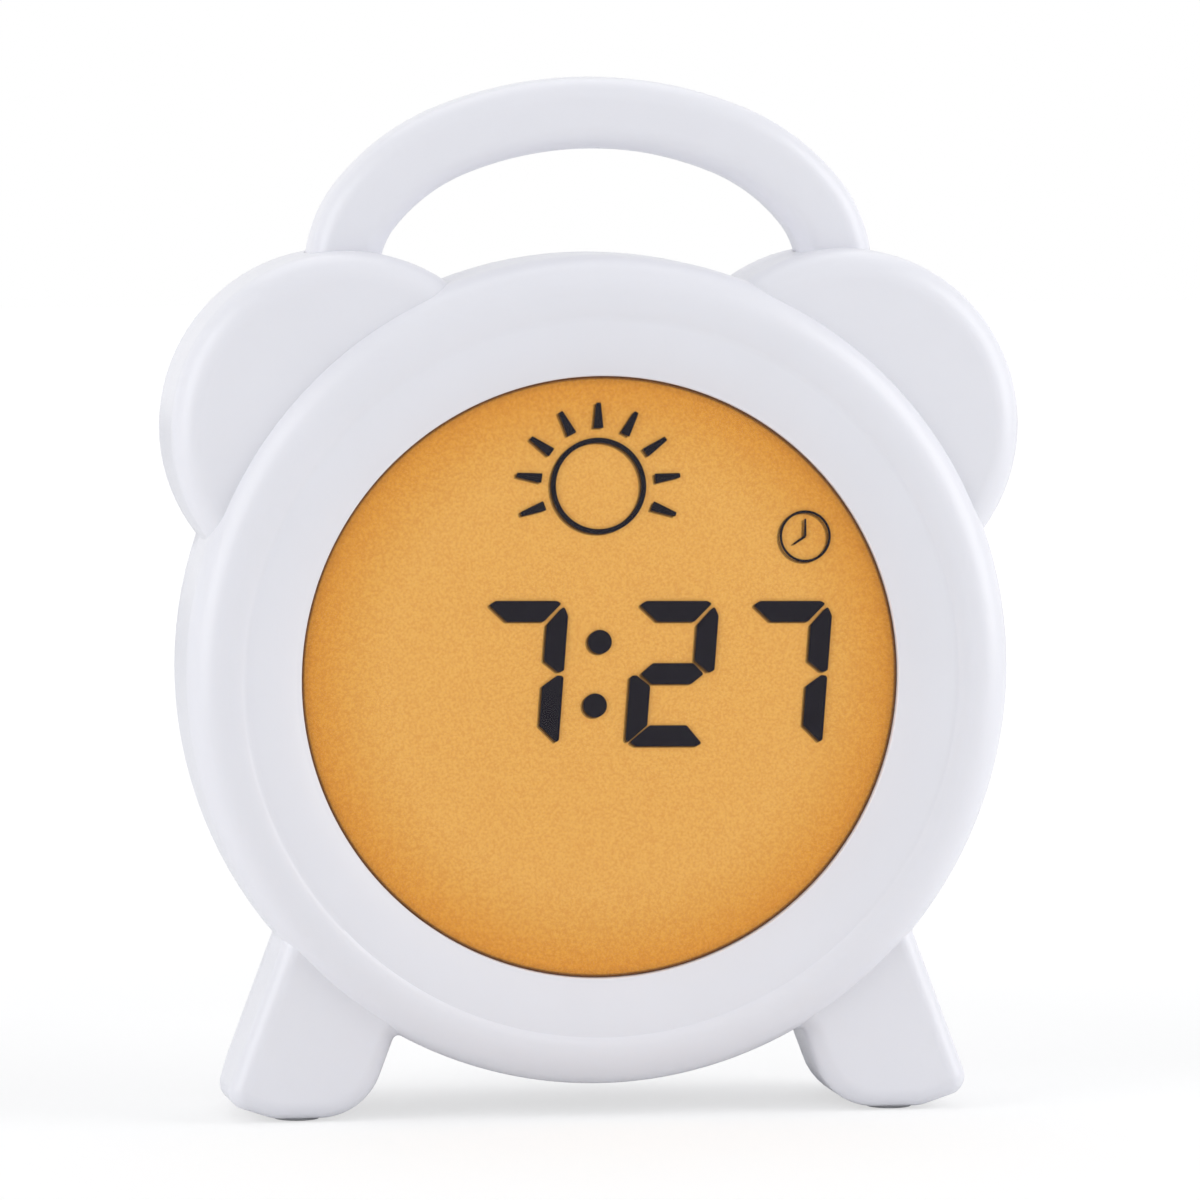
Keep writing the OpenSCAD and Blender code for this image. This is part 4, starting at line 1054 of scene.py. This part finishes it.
@dataclass
class FrontHousing:
    """The moulded front: the face ring with its ears and feet, hollow behind."""

    crest_r: float = 58.3 * MM
    shoulder: Point = (5.7 * MM, 6 * MM)
    roll_r: float = 57.8 * MM
    crease_r: float = 55.3 * MM
    crease_dip: float = 0.65 * MM
    window_r: float = 46.4 * MM
    dish_depth: float = 2.9 * MM
    edge_round: float = 0.45 * MM
    lip: float = 1.9 * MM
    well: Point = (49.15 * MM, 50.95 * MM)
    well_depth: float = 13.1 * MM
    well_step: float = 0.63
    well_foot: float = 0.5 * MM
    hollow_gap: float = 1 * MM
    lobe_lap: float = 1 * MM
    ear_edge: float = 4.5 * MM
    foot_edge: float = 3 * MM
    facets: int = 288

    def face_profile(self) -> list[Point]:
        """Gives the ring's section: outer band, shoulder, crest, roll, crease, dish, opening and hollow.

        Returns:
            Its points of radius and depth.
        """
        crest, split = LAYOUT.crest_y, LAYOUT.split_y
        width, depth = self.shoulder
        lap = self.roll_r - self.crease_r
        roll = (lap**2 + self.crease_dip**2) / (2 * self.crease_dip)
        roll_turn = math.degrees(math.asin(lap / roll))
        rise = self.dish_depth - self.crease_dip
        dish_w = self.crease_r - self.window_r
        dish = (dish_w**2 + rise**2) / (2 * rise)
        dish_turn = math.degrees(math.asin((dish_w - self.edge_round) / dish))
        lip_y = crest + self.dish_depth
        seat_y = lip_y + self.lip
        step_y = seat_y + self.well_depth * self.well_step
        t = LAYOUT.wall
        dish_arc = arc(
            (self.crease_r, crest + self.crease_dip + dish), (dish, dish), -90, -90 - dish_turn, 14
        )
        return [
            (LAYOUT.face_r, split), (LAYOUT.face_r, (split + crest + depth) / 2),
            *arc((self.crest_r, crest + depth), (width, -depth), 0, 90, 20),
            *arc((self.roll_r, crest + roll), (roll, roll), -90, -90 - roll_turn, 6)[:-1],
            *dish_arc,
            *arc((self.window_r + self.edge_round, dish_arc[-1][1] + self.edge_round),
                 (self.edge_round, self.edge_round), 250, 180, 5),
            (self.window_r, seat_y), (self.well[0], seat_y),
            (self.well[0], step_y), (self.well[1], step_y),
            (self.well[1], seat_y + self.well_foot), (self.crease_r + self.hollow_gap, crest + t),
            *arc((self.crest_r, crest + depth), (width - t, -(depth - t)), 90, 0, 8),
            (LAYOUT.face_r - t, split),
        ]

    def ring(self) -> bpy.types.Object:
        """Builds the ring, with the opening's side lowered to the display's axis.

        Returns:
            The ring as one object.
        """
        solid = Solid().turn(self.face_profile(), (0, LAYOUT.face_z), self.facets)
        for vert in solid.bm.verts:
            radius = math.hypot(vert.co.x, vert.co.z - LAYOUT.face_z)
            share = (self.crest_r - radius) / (self.crest_r - self.crease_r)
            vert.co.z -= LAYOUT.window_drop * min(1.0, max(0.0, share))
        return solid.object("front_housing_shell")

    def lobes(self, lobe: Lobe, edge: float, name: str) -> bpy.types.Object:
        """Builds a pair of ears or feet with rounded front edges.

        Args:
            lobe: the outline of the right-hand one.
            edge: rounding of its front edge.
            name: the object's name.

        Returns:
            The pair as one object.
        """
        outline = [(x, z + LAYOUT.face_z) for x, z in lobe.outline()]
        solid = Solid().plate(outline, LAYOUT.ear_y, LAYOUT.split_y)
        inner = lobe.ring_r - self.lobe_lap

        def on_rim(a: Vector, b: Vector) -> bool:
            """Tells whether an edge of the front face lies outside the ring."""
            front = abs(a.y - LAYOUT.ear_y) < TINY and abs(b.y - LAYOUT.ear_y) < TINY
            return front and min(math.hypot(p.x, p.z - LAYOUT.face_z) for p in (a, b)) > inner

        return solid.soften(on_rim, edge, 10, clamp=False).mirrored().object(name)

    def build(self) -> None:
        """Joins the ring with its ears and feet and dresses the housing."""
        shell = self.ring()
        ears = self.lobes(Ear(), self.ear_edge, "ears")
        feet = self.lobes(Foot(), self.foot_edge, "feet")
        combine(shell, [ears, feet], Joining.UNION)
        dressed(shell, SHELL, Body.CLOCK, ["front_housing"])
        even_shading(shell)


@dataclass
class CarryHandle:
    """The arched handle: a rounded bar in five bends over straight tangs."""

    bar: float = 11 * MM
    depth: float = 12 * MM
    edge: float = 3.6 * MM
    side_r: float = 17 * MM
    side_turn: float = 39
    mid_r: float = 32.5 * MM
    mid_turn: float = 29
    low: Vector = field(default_factory=lambda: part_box("carry_handle")[0])
    high: Vector = field(default_factory=lambda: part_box("carry_handle")[1])

    def bends(self) -> list[Triple]:
        """Gives the bends from the crown down one side.

        Returns:
            For each one, the X and Z of its centre and its angle.
        """
        side, turned = math.radians(self.side_turn), math.radians(self.side_turn + self.mid_turn)
        side_x = self.high.x - self.bar / 2 - self.side_r
        mid_x = side_x - (self.mid_r - self.side_r) * math.cos(side)
        crown_r = self.mid_r + mid_x / math.cos(turned)
        crown_z = self.high.z - self.bar / 2 - crown_r
        mid_z = crown_z + (crown_r - self.mid_r) * math.sin(turned)
        side_z = mid_z + (self.mid_r - self.side_r) * math.sin(side)
        return [(0, crown_z, math.pi - 2 * turned), (mid_x, mid_z, turned - side), (side_x, side_z, side)]

    def build(self) -> None:
        """Sweeps the section up one tang, over the arch and down the other."""
        tang_x = self.high.x - self.bar / 2
        middle_y = (self.low.y + self.high.y) / 2
        loop = rounded_loop(self.bar, self.depth, self.edge, 10)
        solid = Solid()
        end = solid.chain([(x - tang_x, y + middle_y, self.low.z) for x, y in loop], True)
        crown, *sides = self.bends()
        climb = sides[-1][1] - self.low.z
        arch = [(-x, z, angle) for x, z, angle in reversed(sides)] + [crown] + sides
        for bend, rise in [(None, climb), *((bend, 0) for bend in arch), (None, -climb)]:
            x, z, angle = bend or (0, 0, 0)
            steps = max(3, round(math.degrees(angle) / 2))
            end = bmesh.ops.spin(
                solid.bm, geom=end, cent=(x, 0, z), axis=(0, 1, 0), dvec=(0, 0, rise / steps),
                angle=angle, steps=steps,
            )["geom_last"]
        open_ends = [e for e in solid.bm.edges if e.is_boundary]
        bmesh.ops.holes_fill(solid.bm, edges=open_ends, sides=0)
        dressed(solid.object("carry_handle_arch"), SHELL, Body.CLOCK, ["carry_handle"])


@dataclass
class Display:
    """The display: a clear cover, the dark segments under it, and the amber filter behind them."""

    rim: float = 0.1 * MM
    cover_t: float = 0.2 * MM
    segment_y: float = 0.05 * MM
    segment_t: float = 0.1 * MM
    air: float = 0.4 * MM
    flange: Vector = field(default_factory=lambda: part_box("display_lens")[1])
    flange_t: float = 1.5 * MM
    digit: Point = (13.06 * MM, 22.4 * MM)
    bar: float = 3.2 * MM
    slant: float = 0.075
    level: float = -0.012
    digits: tuple[tuple[float, str], ...] = ((-12.3 * MM, "abc"), (11.15 * MM, "abged"), (28.9 * MM, "abc"))
    digit_z: float = 0.6 * MM
    digit_round: float = 0.4 * MM
    dots: tuple[Point, ...] = ((-0.15 * MM, 5.5 * MM), (-0.9 * MM, -4.3 * MM))
    dot_r: float = 1.84 * MM
    sun: Point = (-0.35 * MM, 29.5 * MM)
    sun_ring: Point = (7.4 * MM, 0.75 * MM)
    rays: int = 9
    ray_turn: float = 27.5
    ray_start: float = -20
    ray_reach: Point = (8.9 * MM, 12.8 * MM)
    ray_w: float = 1.5 * MM
    ray_tip: float = 0.45
    ray_round: float = 0.15 * MM
    dial: Point = (31.9 * MM, 21.8 * MM)
    dial_ring: Point = (4.0 * MM, 0.36 * MM)
    hands: tuple[Point, ...] = ((0, 2.7 * MM), (-1.75 * MM, -1.2 * MM))
    hand_w: float = 0.38 * MM
    hand_tip: float = 0.7
    shadow_step: Vector = field(default_factory=lambda: Vector((-0.2 * MM, 0.12 * MM, -0.14 * MM)))
    shadow_share: float = 0.1

    def puck(self, profile: Sequence[Point], name: str) -> bpy.types.Object:
        """Spins a closed disc about the display's axis."""
        return Solid().turn(profile, (0, LAYOUT.display_z), 192, closed=False).object(name)

    def build_cover(self) -> None:
        """Builds the clear cover and the filter behind it."""
        front = LAYOUT.lens_y
        back = front + self.cover_t
        cover = [
            (0, front), (DISPLAY_R - self.rim, front), (DISPLAY_R, front + self.rim), (DISPLAY_R, back),
            (0, back),
        ]
        dressed(self.puck(cover, "display_cover"), COVER, Body.CLOCK)
        face = back + self.air
        seat = self.flange.y - self.flange_t
        amber = [
            (0, face), (DISPLAY_R, face), (DISPLAY_R, seat), (self.flange.x, seat),
            (self.flange.x, self.flange.y), (0, self.flange.y),
        ]
        dressed(self.puck(amber, "display_filter"), AMBER, Body.CLOCK, ["display_lens"])

    def segment_shapes(self) -> dict[str, list[Point]]:
        """Gives the seven segments of an upright digit about its middle.

        Returns:
            Each segment's corners, by its letter.
        """
        w, h, t = self.digit[0] / 2 / MM, self.digit[1] / 2 / MM, self.bar / MM
        top = [
            (-w + 1.7, h), (w - 1.9, h), (w - 1.15, h - 0.4), (w - t - 0.5, h - t), (-w + t + 0.4, h - t),
            (-w + 0.62, h - 0.6),
        ]
        side = [
            (w - 0.75, h - 0.75), (w, h - 2.3), (w, 0.6), (w - 0.35, 0.3), (w - 1.0, 0.28), (w - t, 1.95),
            (w - t, h - 3.7),
        ]
        low_side = [
            (w - 0.4, 0.6 - h), (w, 1.0 - h), (w, -0.6), (w - 0.35, -0.3), (w - 1.0, -0.28), (w - t, -1.95),
            (w - t, 3.2 - h),
        ]
        middle = [
            (-w + 1.6, -0.05), (-w + t + 0.2, t / 2), (w - t - 0.2, t / 2), (w - 1.6, -0.05),
            (w - t - 0.25, -t / 2), (-w + t + 0.2, -t / 2),
        ]

        def flipped(shape: list[Point], x: int, z: int) -> list[Point]:
            """Mirrors a segment to another corner of the digit."""
            return [(px * x, pz * z) for px, pz in shape]

        shapes = {
            "a": top, "b": side, "c": low_side, "d": flipped(top, 1, -1),
            "e": flipped(low_side, -1, 1), "f": flipped(side, -1, 1), "g": middle,
        }
        return {name: [(x * MM, z * MM) for x, z in shape] for name, shape in shapes.items()}

    def add_shape(
        self, solid: Solid, shape: Sequence[Point], at: Point, rounding: float = 0.0, lean: float = 0.0,
    ) -> None:
        """Adds one flat segment.

        Args:
            solid: the solid that takes it.
            shape: its corners about its own middle.
            at: where that middle is, from the display's centre.
            rounding: radius of its corners.
            lean: how far it leans to the right for each unit of height.
        """
        front = LAYOUT.lens_y + self.cover_t + self.segment_y
        leaning = [(at[0] + x + lean * z, at[1] + z) for x, z in shape]
        points = [(x, LAYOUT.display_z + z + self.level * x) for x, z in leaning]
        solid.plate(rounded(points, rounding) if rounding > 0 else points, front, front + self.segment_t)

    def cast(self, inked: bpy.types.Object, name: str) -> None:
        """Lays the soft shadow of a set of segments on the film behind them, as two thin layers.

        Args:
            inked: the segments.
            name: the shadow's name.
        """
        solid = Solid()
        for count in (1, 2):
            known = set(solid.bm.verts)
            solid.bm.from_mesh(inked.data)
            fresh = [v for v in solid.bm.verts if v not in known]
            bmesh.ops.translate(solid.bm, verts=fresh, vec=self.shadow_step * count)
            middle = Matrix.Translation((0, -sum((v.co.y for v in fresh), 0.0) / len(fresh), 0))
            bmesh.ops.scale(solid.bm, vec=(1, self.shadow_share, 1), space=middle, verts=fresh)
        dressed(solid.object(name), SHADOW, Body.CLOCK)

    def build_digits(self) -> None:
        """Builds the figures 7:27 and the colon's two dots."""
        shapes = self.segment_shapes()
        solid = Solid()
        for centre, lit in self.digits:
            for name in lit:
                self.add_shape(solid, shapes[name], (centre, self.digit_z), self.digit_round, self.slant)
        for dot in self.dots:
            self.add_shape(solid, arc((0, 0), (self.dot_r, self.dot_r), 0, 352.5, 47), dot)
        figures = solid.object("display_figures")
        dressed(figures, INK, Body.CLOCK)
        self.cast(figures, "display_figures_shadow")

    def build_symbols(self) -> None:
        """Builds the daytime symbol, a plain sun, and the small clock symbol."""
        solid = Solid()
        for half in ring_halves(*self.sun_ring, 40):
            self.add_shape(solid, half, self.sun)
        for step in range(self.rays):
            angle = self.ray_turn * step + self.ray_start
            near, far = (polar(reach, angle) for reach in self.ray_reach)
            self.add_shape(solid, bar_shape(near, far, self.ray_w, self.ray_tip), self.sun, self.ray_round)
        for half in ring_halves(*self.dial_ring, 32):
            self.add_shape(solid, half, self.dial)
        for tip in self.hands:
            self.add_shape(solid, bar_shape((0, 0), tip, self.hand_w, self.hand_tip), self.dial)
        symbols = solid.object("display_symbols")
        dressed(symbols, INK, Body.CLOCK)
        self.cast(symbols, "display_symbols_shadow")

    def build(self) -> None:
        """Builds the cover, the filter, the figures and the symbols."""
        self.build_cover()
        self.build_digits()
        self.build_symbols()


@dataclass
class RearHousing:
    """The moulded rear shell and the battery door in it, with eased edges."""

    crease: float = 28

    def panel(self, node: str, name: str, finish: Finish, body: Body) -> None:
        """Dresses a copy of one of the two.

        Args:
            node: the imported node.
            name: the piece's name.
            finish: what its surface is.
            body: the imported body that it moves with.
        """
        piece = copy_of(node, name)
        dressed(piece, finish, body, [node], self.crease)
        even_shading(piece)

    def build(self) -> None:
        """Dresses the rear shell and the door."""
        self.panel("rear_housing", "rear_housing_shell", CUT_SHELL, Body.CLOCK)
        self.panel("battery_door", "battery_door_panel", KEY, Body.DOOR)


@dataclass
class Keypad:
    """The six keys on the back, each with a dished head and a raised symbol."""

    head_r: float = 4 * MM
    head_round: float = 0.8 * MM
    flange_r: float = 5.2 * MM
    flange_t: float = 1.4 * MM
    head_t: float = 3.5 * MM
    stem_r: float = 1.75 * MM
    dish: float = 0.25 * MM
    dish_steps: int = 8
    mark_t: float = 0.2 * MM
    mark_sink: float = 0.02 * MM

    def head(self, icon: Icon, body: Body) -> Vector:
        """Builds one key.

        Args:
            icon: which key.
            body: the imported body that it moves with.

        Returns:
            The middle of its outer face.
        """
        node = icon.value + "_button"
        low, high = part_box(node)
        middle = ((low.x + high.x) / 2, (low.z + high.z) / 2)
        seat = high.y - self.head_t - self.flange_t
        inner = self.head_r - self.head_round
        shares = [1 - i / self.dish_steps for i in range(self.dish_steps + 1)]
        hollow = [(inner * share, high.y - self.dish * (1 - share**2)) for share in shares]
        profile = [
            (0, low.y), (self.stem_r, low.y), (self.stem_r, seat), (self.flange_r, seat),
            (self.flange_r, seat + self.flange_t), (self.head_r, seat + self.flange_t),
            *arc((inner, high.y - self.head_round), (self.head_round, self.head_round), 0, 90, 8)[:-1],
            *hollow,
        ]
        solid = Solid().turn(profile, middle, 72, closed=False)
        dressed(solid.object(icon.value + "_key"), KEY, body, [node])
        return Vector((middle[0], high.y, middle[1]))

    def outlines(self, icon: Icon) -> list[list[Point]]:
        """Gives a symbol's shapes in millimetres, seen from behind.

        Args:
            icon: which symbol.

        Returns:
            The outline of each shape.
        """
        if icon is Icon.CLOCK:
            hands = [bar_shape((0, -0.2), (0, 1.5), 0.4), bar_shape((-0.1, 0), (1.1, 0), 0.4)]
            return ring_halves(2.3, 0.4, 24) + hands
        if icon is Icon.BELL:
            dome = arc((0, 0.5), (1.25, 1.3), 0, 180, 16)
            return [
                [(1.3, -0.6), *dome, (-1.3, -0.6), (-2.0, -1.2), (2.0, -1.2)],
                arc((0, -1.55), (0.5, 0.4), 180, 360, 10), arc((0, 1.95), (0.3, 0.3), 0, 345, 11),
            ]
        if icon is Icon.MOON:
            bite = sweep_between((1.1, 0.35), polar(2.2, -62), polar(2.2, 97), 24)
            return [arc((0, 0), (2.2, 2.2), 97, 298, 32) + bite[1:-1]]
        if icon is Icon.LAMP:
            neck = [bar_shape((-w, z), (w, z), 0.35) for w, z in ((0.75, -1.35), (0.75, -1.85), (0.45, -2.3))]
            return [[(0.7, -1.0), *arc((0, 0.75), (1.55, 1.55), -50, 230, 28), (-0.7, -1.0)], *neck]
        return [cross_shape(0.6, 3.8)] if icon is Icon.PLUS else [bar_shape((-1.9, 0), (1.9, 0), 0.6)]

    def symbol(self, icon: Icon, body: Body, at: Vector) -> None:
        """Raises a key's symbol from the hollow of its head.

        Args:
            icon: which symbol.
            body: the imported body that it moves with.
            at: the middle of the key's outer face.
        """
        solid = Solid()
        for shape in self.outlines(icon):
            points = [(at.x - x * MM, at.z + z * MM) for x, z in shape]
            solid.plate(points, at.y - self.dish - self.mark_t, at.y - self.mark_sink)
        dressed(solid.object(icon.value + "_symbol"), MARK, body)

    def build(self) -> None:
        """Builds the six keys."""
        for icon in Icon:
            body = Body(icon.value + "_key")
            self.symbol(icon, body, self.head(icon, body))


@dataclass
class Hardware:
    """The housing screws with their cross recesses, and the pads under the feet."""

    shank_r: float = 1.25 * MM
    shank_l: float = 16 * MM
    head_r: float = 2.8 * MM
    head_h: float = 1.8 * MM
    point_l: float = 1.5 * MM
    recess: Point = (0.75 * MM, 3.4 * MM)
    recess_depth: float = 1.2 * MM
    places: tuple[Point, ...] = ((38.5 * MM, 124.5 * MM), (44.45 * MM, 14 * MM))
    pad_r: float = 3.6 * MM
    pad_edge: float = 0.35 * MM
    pads: tuple[Point, ...] = ((46.45 * MM, -13.1 * MM), (47.65 * MM, 5.9 * MM))

    def build_screws(self) -> None:
        """Builds the four pan-head screws."""
        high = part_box("housing_screws")[1].y
        seat, tip = high - self.head_h, high - self.head_h - self.shank_l
        profile = [
            (0, tip), (self.shank_r / 2, tip), (self.shank_r, tip + self.point_l), (self.shank_r, seat),
            (self.head_r, seat), *arc((0, seat), (self.head_r, self.head_h), 15, 90, 10),
        ]
        low, top = high - self.recess_depth, high + self.recess_depth
        screws, cutter = Solid(), Solid()
        for place in self.places:
            screws.turn(profile, place, 48, closed=False)
            cutter.plate([(place[0] + x, place[1] + z) for x, z in cross_shape(*self.recess)], low, top)
        made = screws.mirrored().object("pan_head_screws")
        combine(made, [cutter.mirrored().object("cross_recesses")], Joining.DIFFERENCE)
        dressed(made, STEEL, Body.CLOCK, ["housing_screws"])

    def build_pads(self) -> None:
        """Builds the four pads with eased rims."""
        low, high = (corner.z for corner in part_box("foot_pads"))
        solid = Solid()
        for place in self.pads:
            solid.upright(place, self.pad_r, low, high)
        solid.soften(lambda a, b: abs(a.z - low) < TINY and abs(b.z - low) < TINY, self.pad_edge, 4)
        dressed(solid.mirrored().object("foot_pad_set"), RUBBER, Body.CLOCK, ["foot_pads"])

    def build(self) -> None:
        """Builds the screws and the pads."""
        self.build_screws()
        self.build_pads()


def dress_nodes() -> None:
    """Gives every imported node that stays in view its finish."""
    for name, finish in NODE_FINISHES.items():
        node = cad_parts[name]
        node.data.materials.clear()
        node.data.materials.append(finish.material())
        log.info("%s: %s", name, finish.name)


# ---------- Studio ----------


def facing(direction: Vector) -> Euler:
    """Gives the turn of a lamp or camera that looks in a direction."""
    return direction.to_track_quat("-Z", "Y").to_euler()


@dataclass(frozen=True)
class Softbox:
    """A rectangular light that faces the clock's middle."""

    name: str
    place: Triple
    size: Point
    power: float

    def build(self) -> None:
        """Hangs the light."""
        data = bpy.data.lights.new(self.name, "AREA")
        data.shape = "RECTANGLE"
        data.size, data.size_y = self.size
        data.energy = self.power
        lamp = in_scene(self.name, data)
        lamp.location = self.place
        lamp.rotation_euler = facing(Vector((0, 0, LAYOUT.face_z)) - Vector(self.place))


@dataclass
class Studio:
    """A white floor, soft light from both sides and above, and the camera."""

    azimuth: float = -9.3
    elevation: float = 4.2
    distance: float = 1400 * MM
    lens: float = 273.6
    sensor: float = 36.0
    clip: Point = (0.05, 30)
    aim: Vector = field(default_factory=lambda: Vector((-0.24 * MM, -20 * MM, 79.99 * MM)))
    floor_half: float = 3.0
    floor_grey: float = 0.93
    floor_seen: float = 0.4
    floor_glow: Point = (0.61, 0.86)
    floor_fade: Point = (0.14, 1.0)
    sky: Colour = (250, 252, 255)
    ambient: float = 0.465
    softboxes: tuple[Softbox, ...] = (
        Softbox("left_softbox", (-0.95, -0.45, 0.45), (0.7, 1.0), 5.85),
        Softbox("right_softbox", (0.95, -0.35, 0.45), (0.7, 1.0), 6.65),
        Softbox("top_softbox", (0.0, 0.4, 1.25), (1.2, 1.0), 4.4),
    )

    def camera(self) -> None:
        """Puts the camera in front, a little to the left and above."""
        a, e = math.radians(self.azimuth), math.radians(self.elevation)
        back = Vector((math.sin(a) * math.cos(e), -math.cos(a) * math.cos(e), math.sin(e)))
        data = bpy.data.cameras.new("camera")
        data.lens = self.lens
        data.sensor_width = self.sensor
        data.clip_start, data.clip_end = self.clip
        camera = in_scene("camera", data)
        camera.location = self.aim + back * self.distance
        camera.rotation_euler = facing(-back)
        bpy.context.scene.camera = camera

    def world(self) -> None:
        """Lights the scene evenly and shows white behind it and in its reflections."""
        world = bpy.data.worlds.new("studio")
        bpy.context.scene.world = world
        nodes = Nodes(world)
        light = nodes.add("Background", Color=linear(self.sky), Strength=self.ambient)
        white = nodes.add("Background", Color=(1, 1, 1, 1), Strength=1.0)
        rays = nodes.add("LightPath").outputs
        seen = rays["Is Camera Ray"]
        for kind in ("Is Glossy Ray", "Is Transmission Ray"):
            higher = nodes.add("Math", "MAXIMUM")
            nodes.feed(higher.inputs[0], seen)
            nodes.feed(higher.inputs[1], rays[kind])
            seen = higher.outputs[0]
        nodes.either(seen, light, white)

    def floor(self) -> None:
        """Lays a floor that shows white and keeps a soft shadow."""
        solid = Solid()
        bmesh.ops.create_grid(solid.bm, x_segments=1, y_segments=1, size=self.floor_half)
        ground = solid.object("floor")
        material = bpy.data.materials.new("floor_white")
        nodes = Nodes(material)
        plain = nodes.add("BsdfDiffuse", Color=(*[self.floor_grey] * 3, 1))
        seen = nodes.add("BsdfDiffuse", Color=(*[self.floor_seen] * 3, 1))
        glow = nodes.ranged(nodes.distance(), *self.floor_glow, self.floor_fade)
        both = nodes.add("AddShader")
        nodes.feed(both.inputs[0], seen.outputs[0])
        nodes.feed(both.inputs[1], nodes.add("Emission", Color=(1, 1, 1, 1), Strength=glow).outputs[0])
        nodes.either(nodes.add("LightPath").outputs["Is Camera Ray"], plain, both)
        ground.data.materials.append(material)

    def build(self) -> None:
        """Sets the studio up."""
        bpy.context.scene.view_settings.view_transform = "Standard"
        self.camera()
        self.world()
        self.floor()
        for softbox in self.softboxes:
            softbox.build()


def corners(box: tuple[Vector, Vector]) -> list[list[float]]:
    """Gives a box's two corners as plain lists."""
    return [list(corner) for corner in box]


def main() -> None:
    """Builds the clock piece by piece and sets up its studio."""
    logging.basicConfig(level=logging.INFO, format="%(message)s")
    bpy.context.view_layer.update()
    for assembly in (Studio, FrontHousing, RearHousing, CarryHandle, Display, Keypad, Hardware):
        assembly().build()
    dress_nodes()


if __name__ == "__main__":
    main()
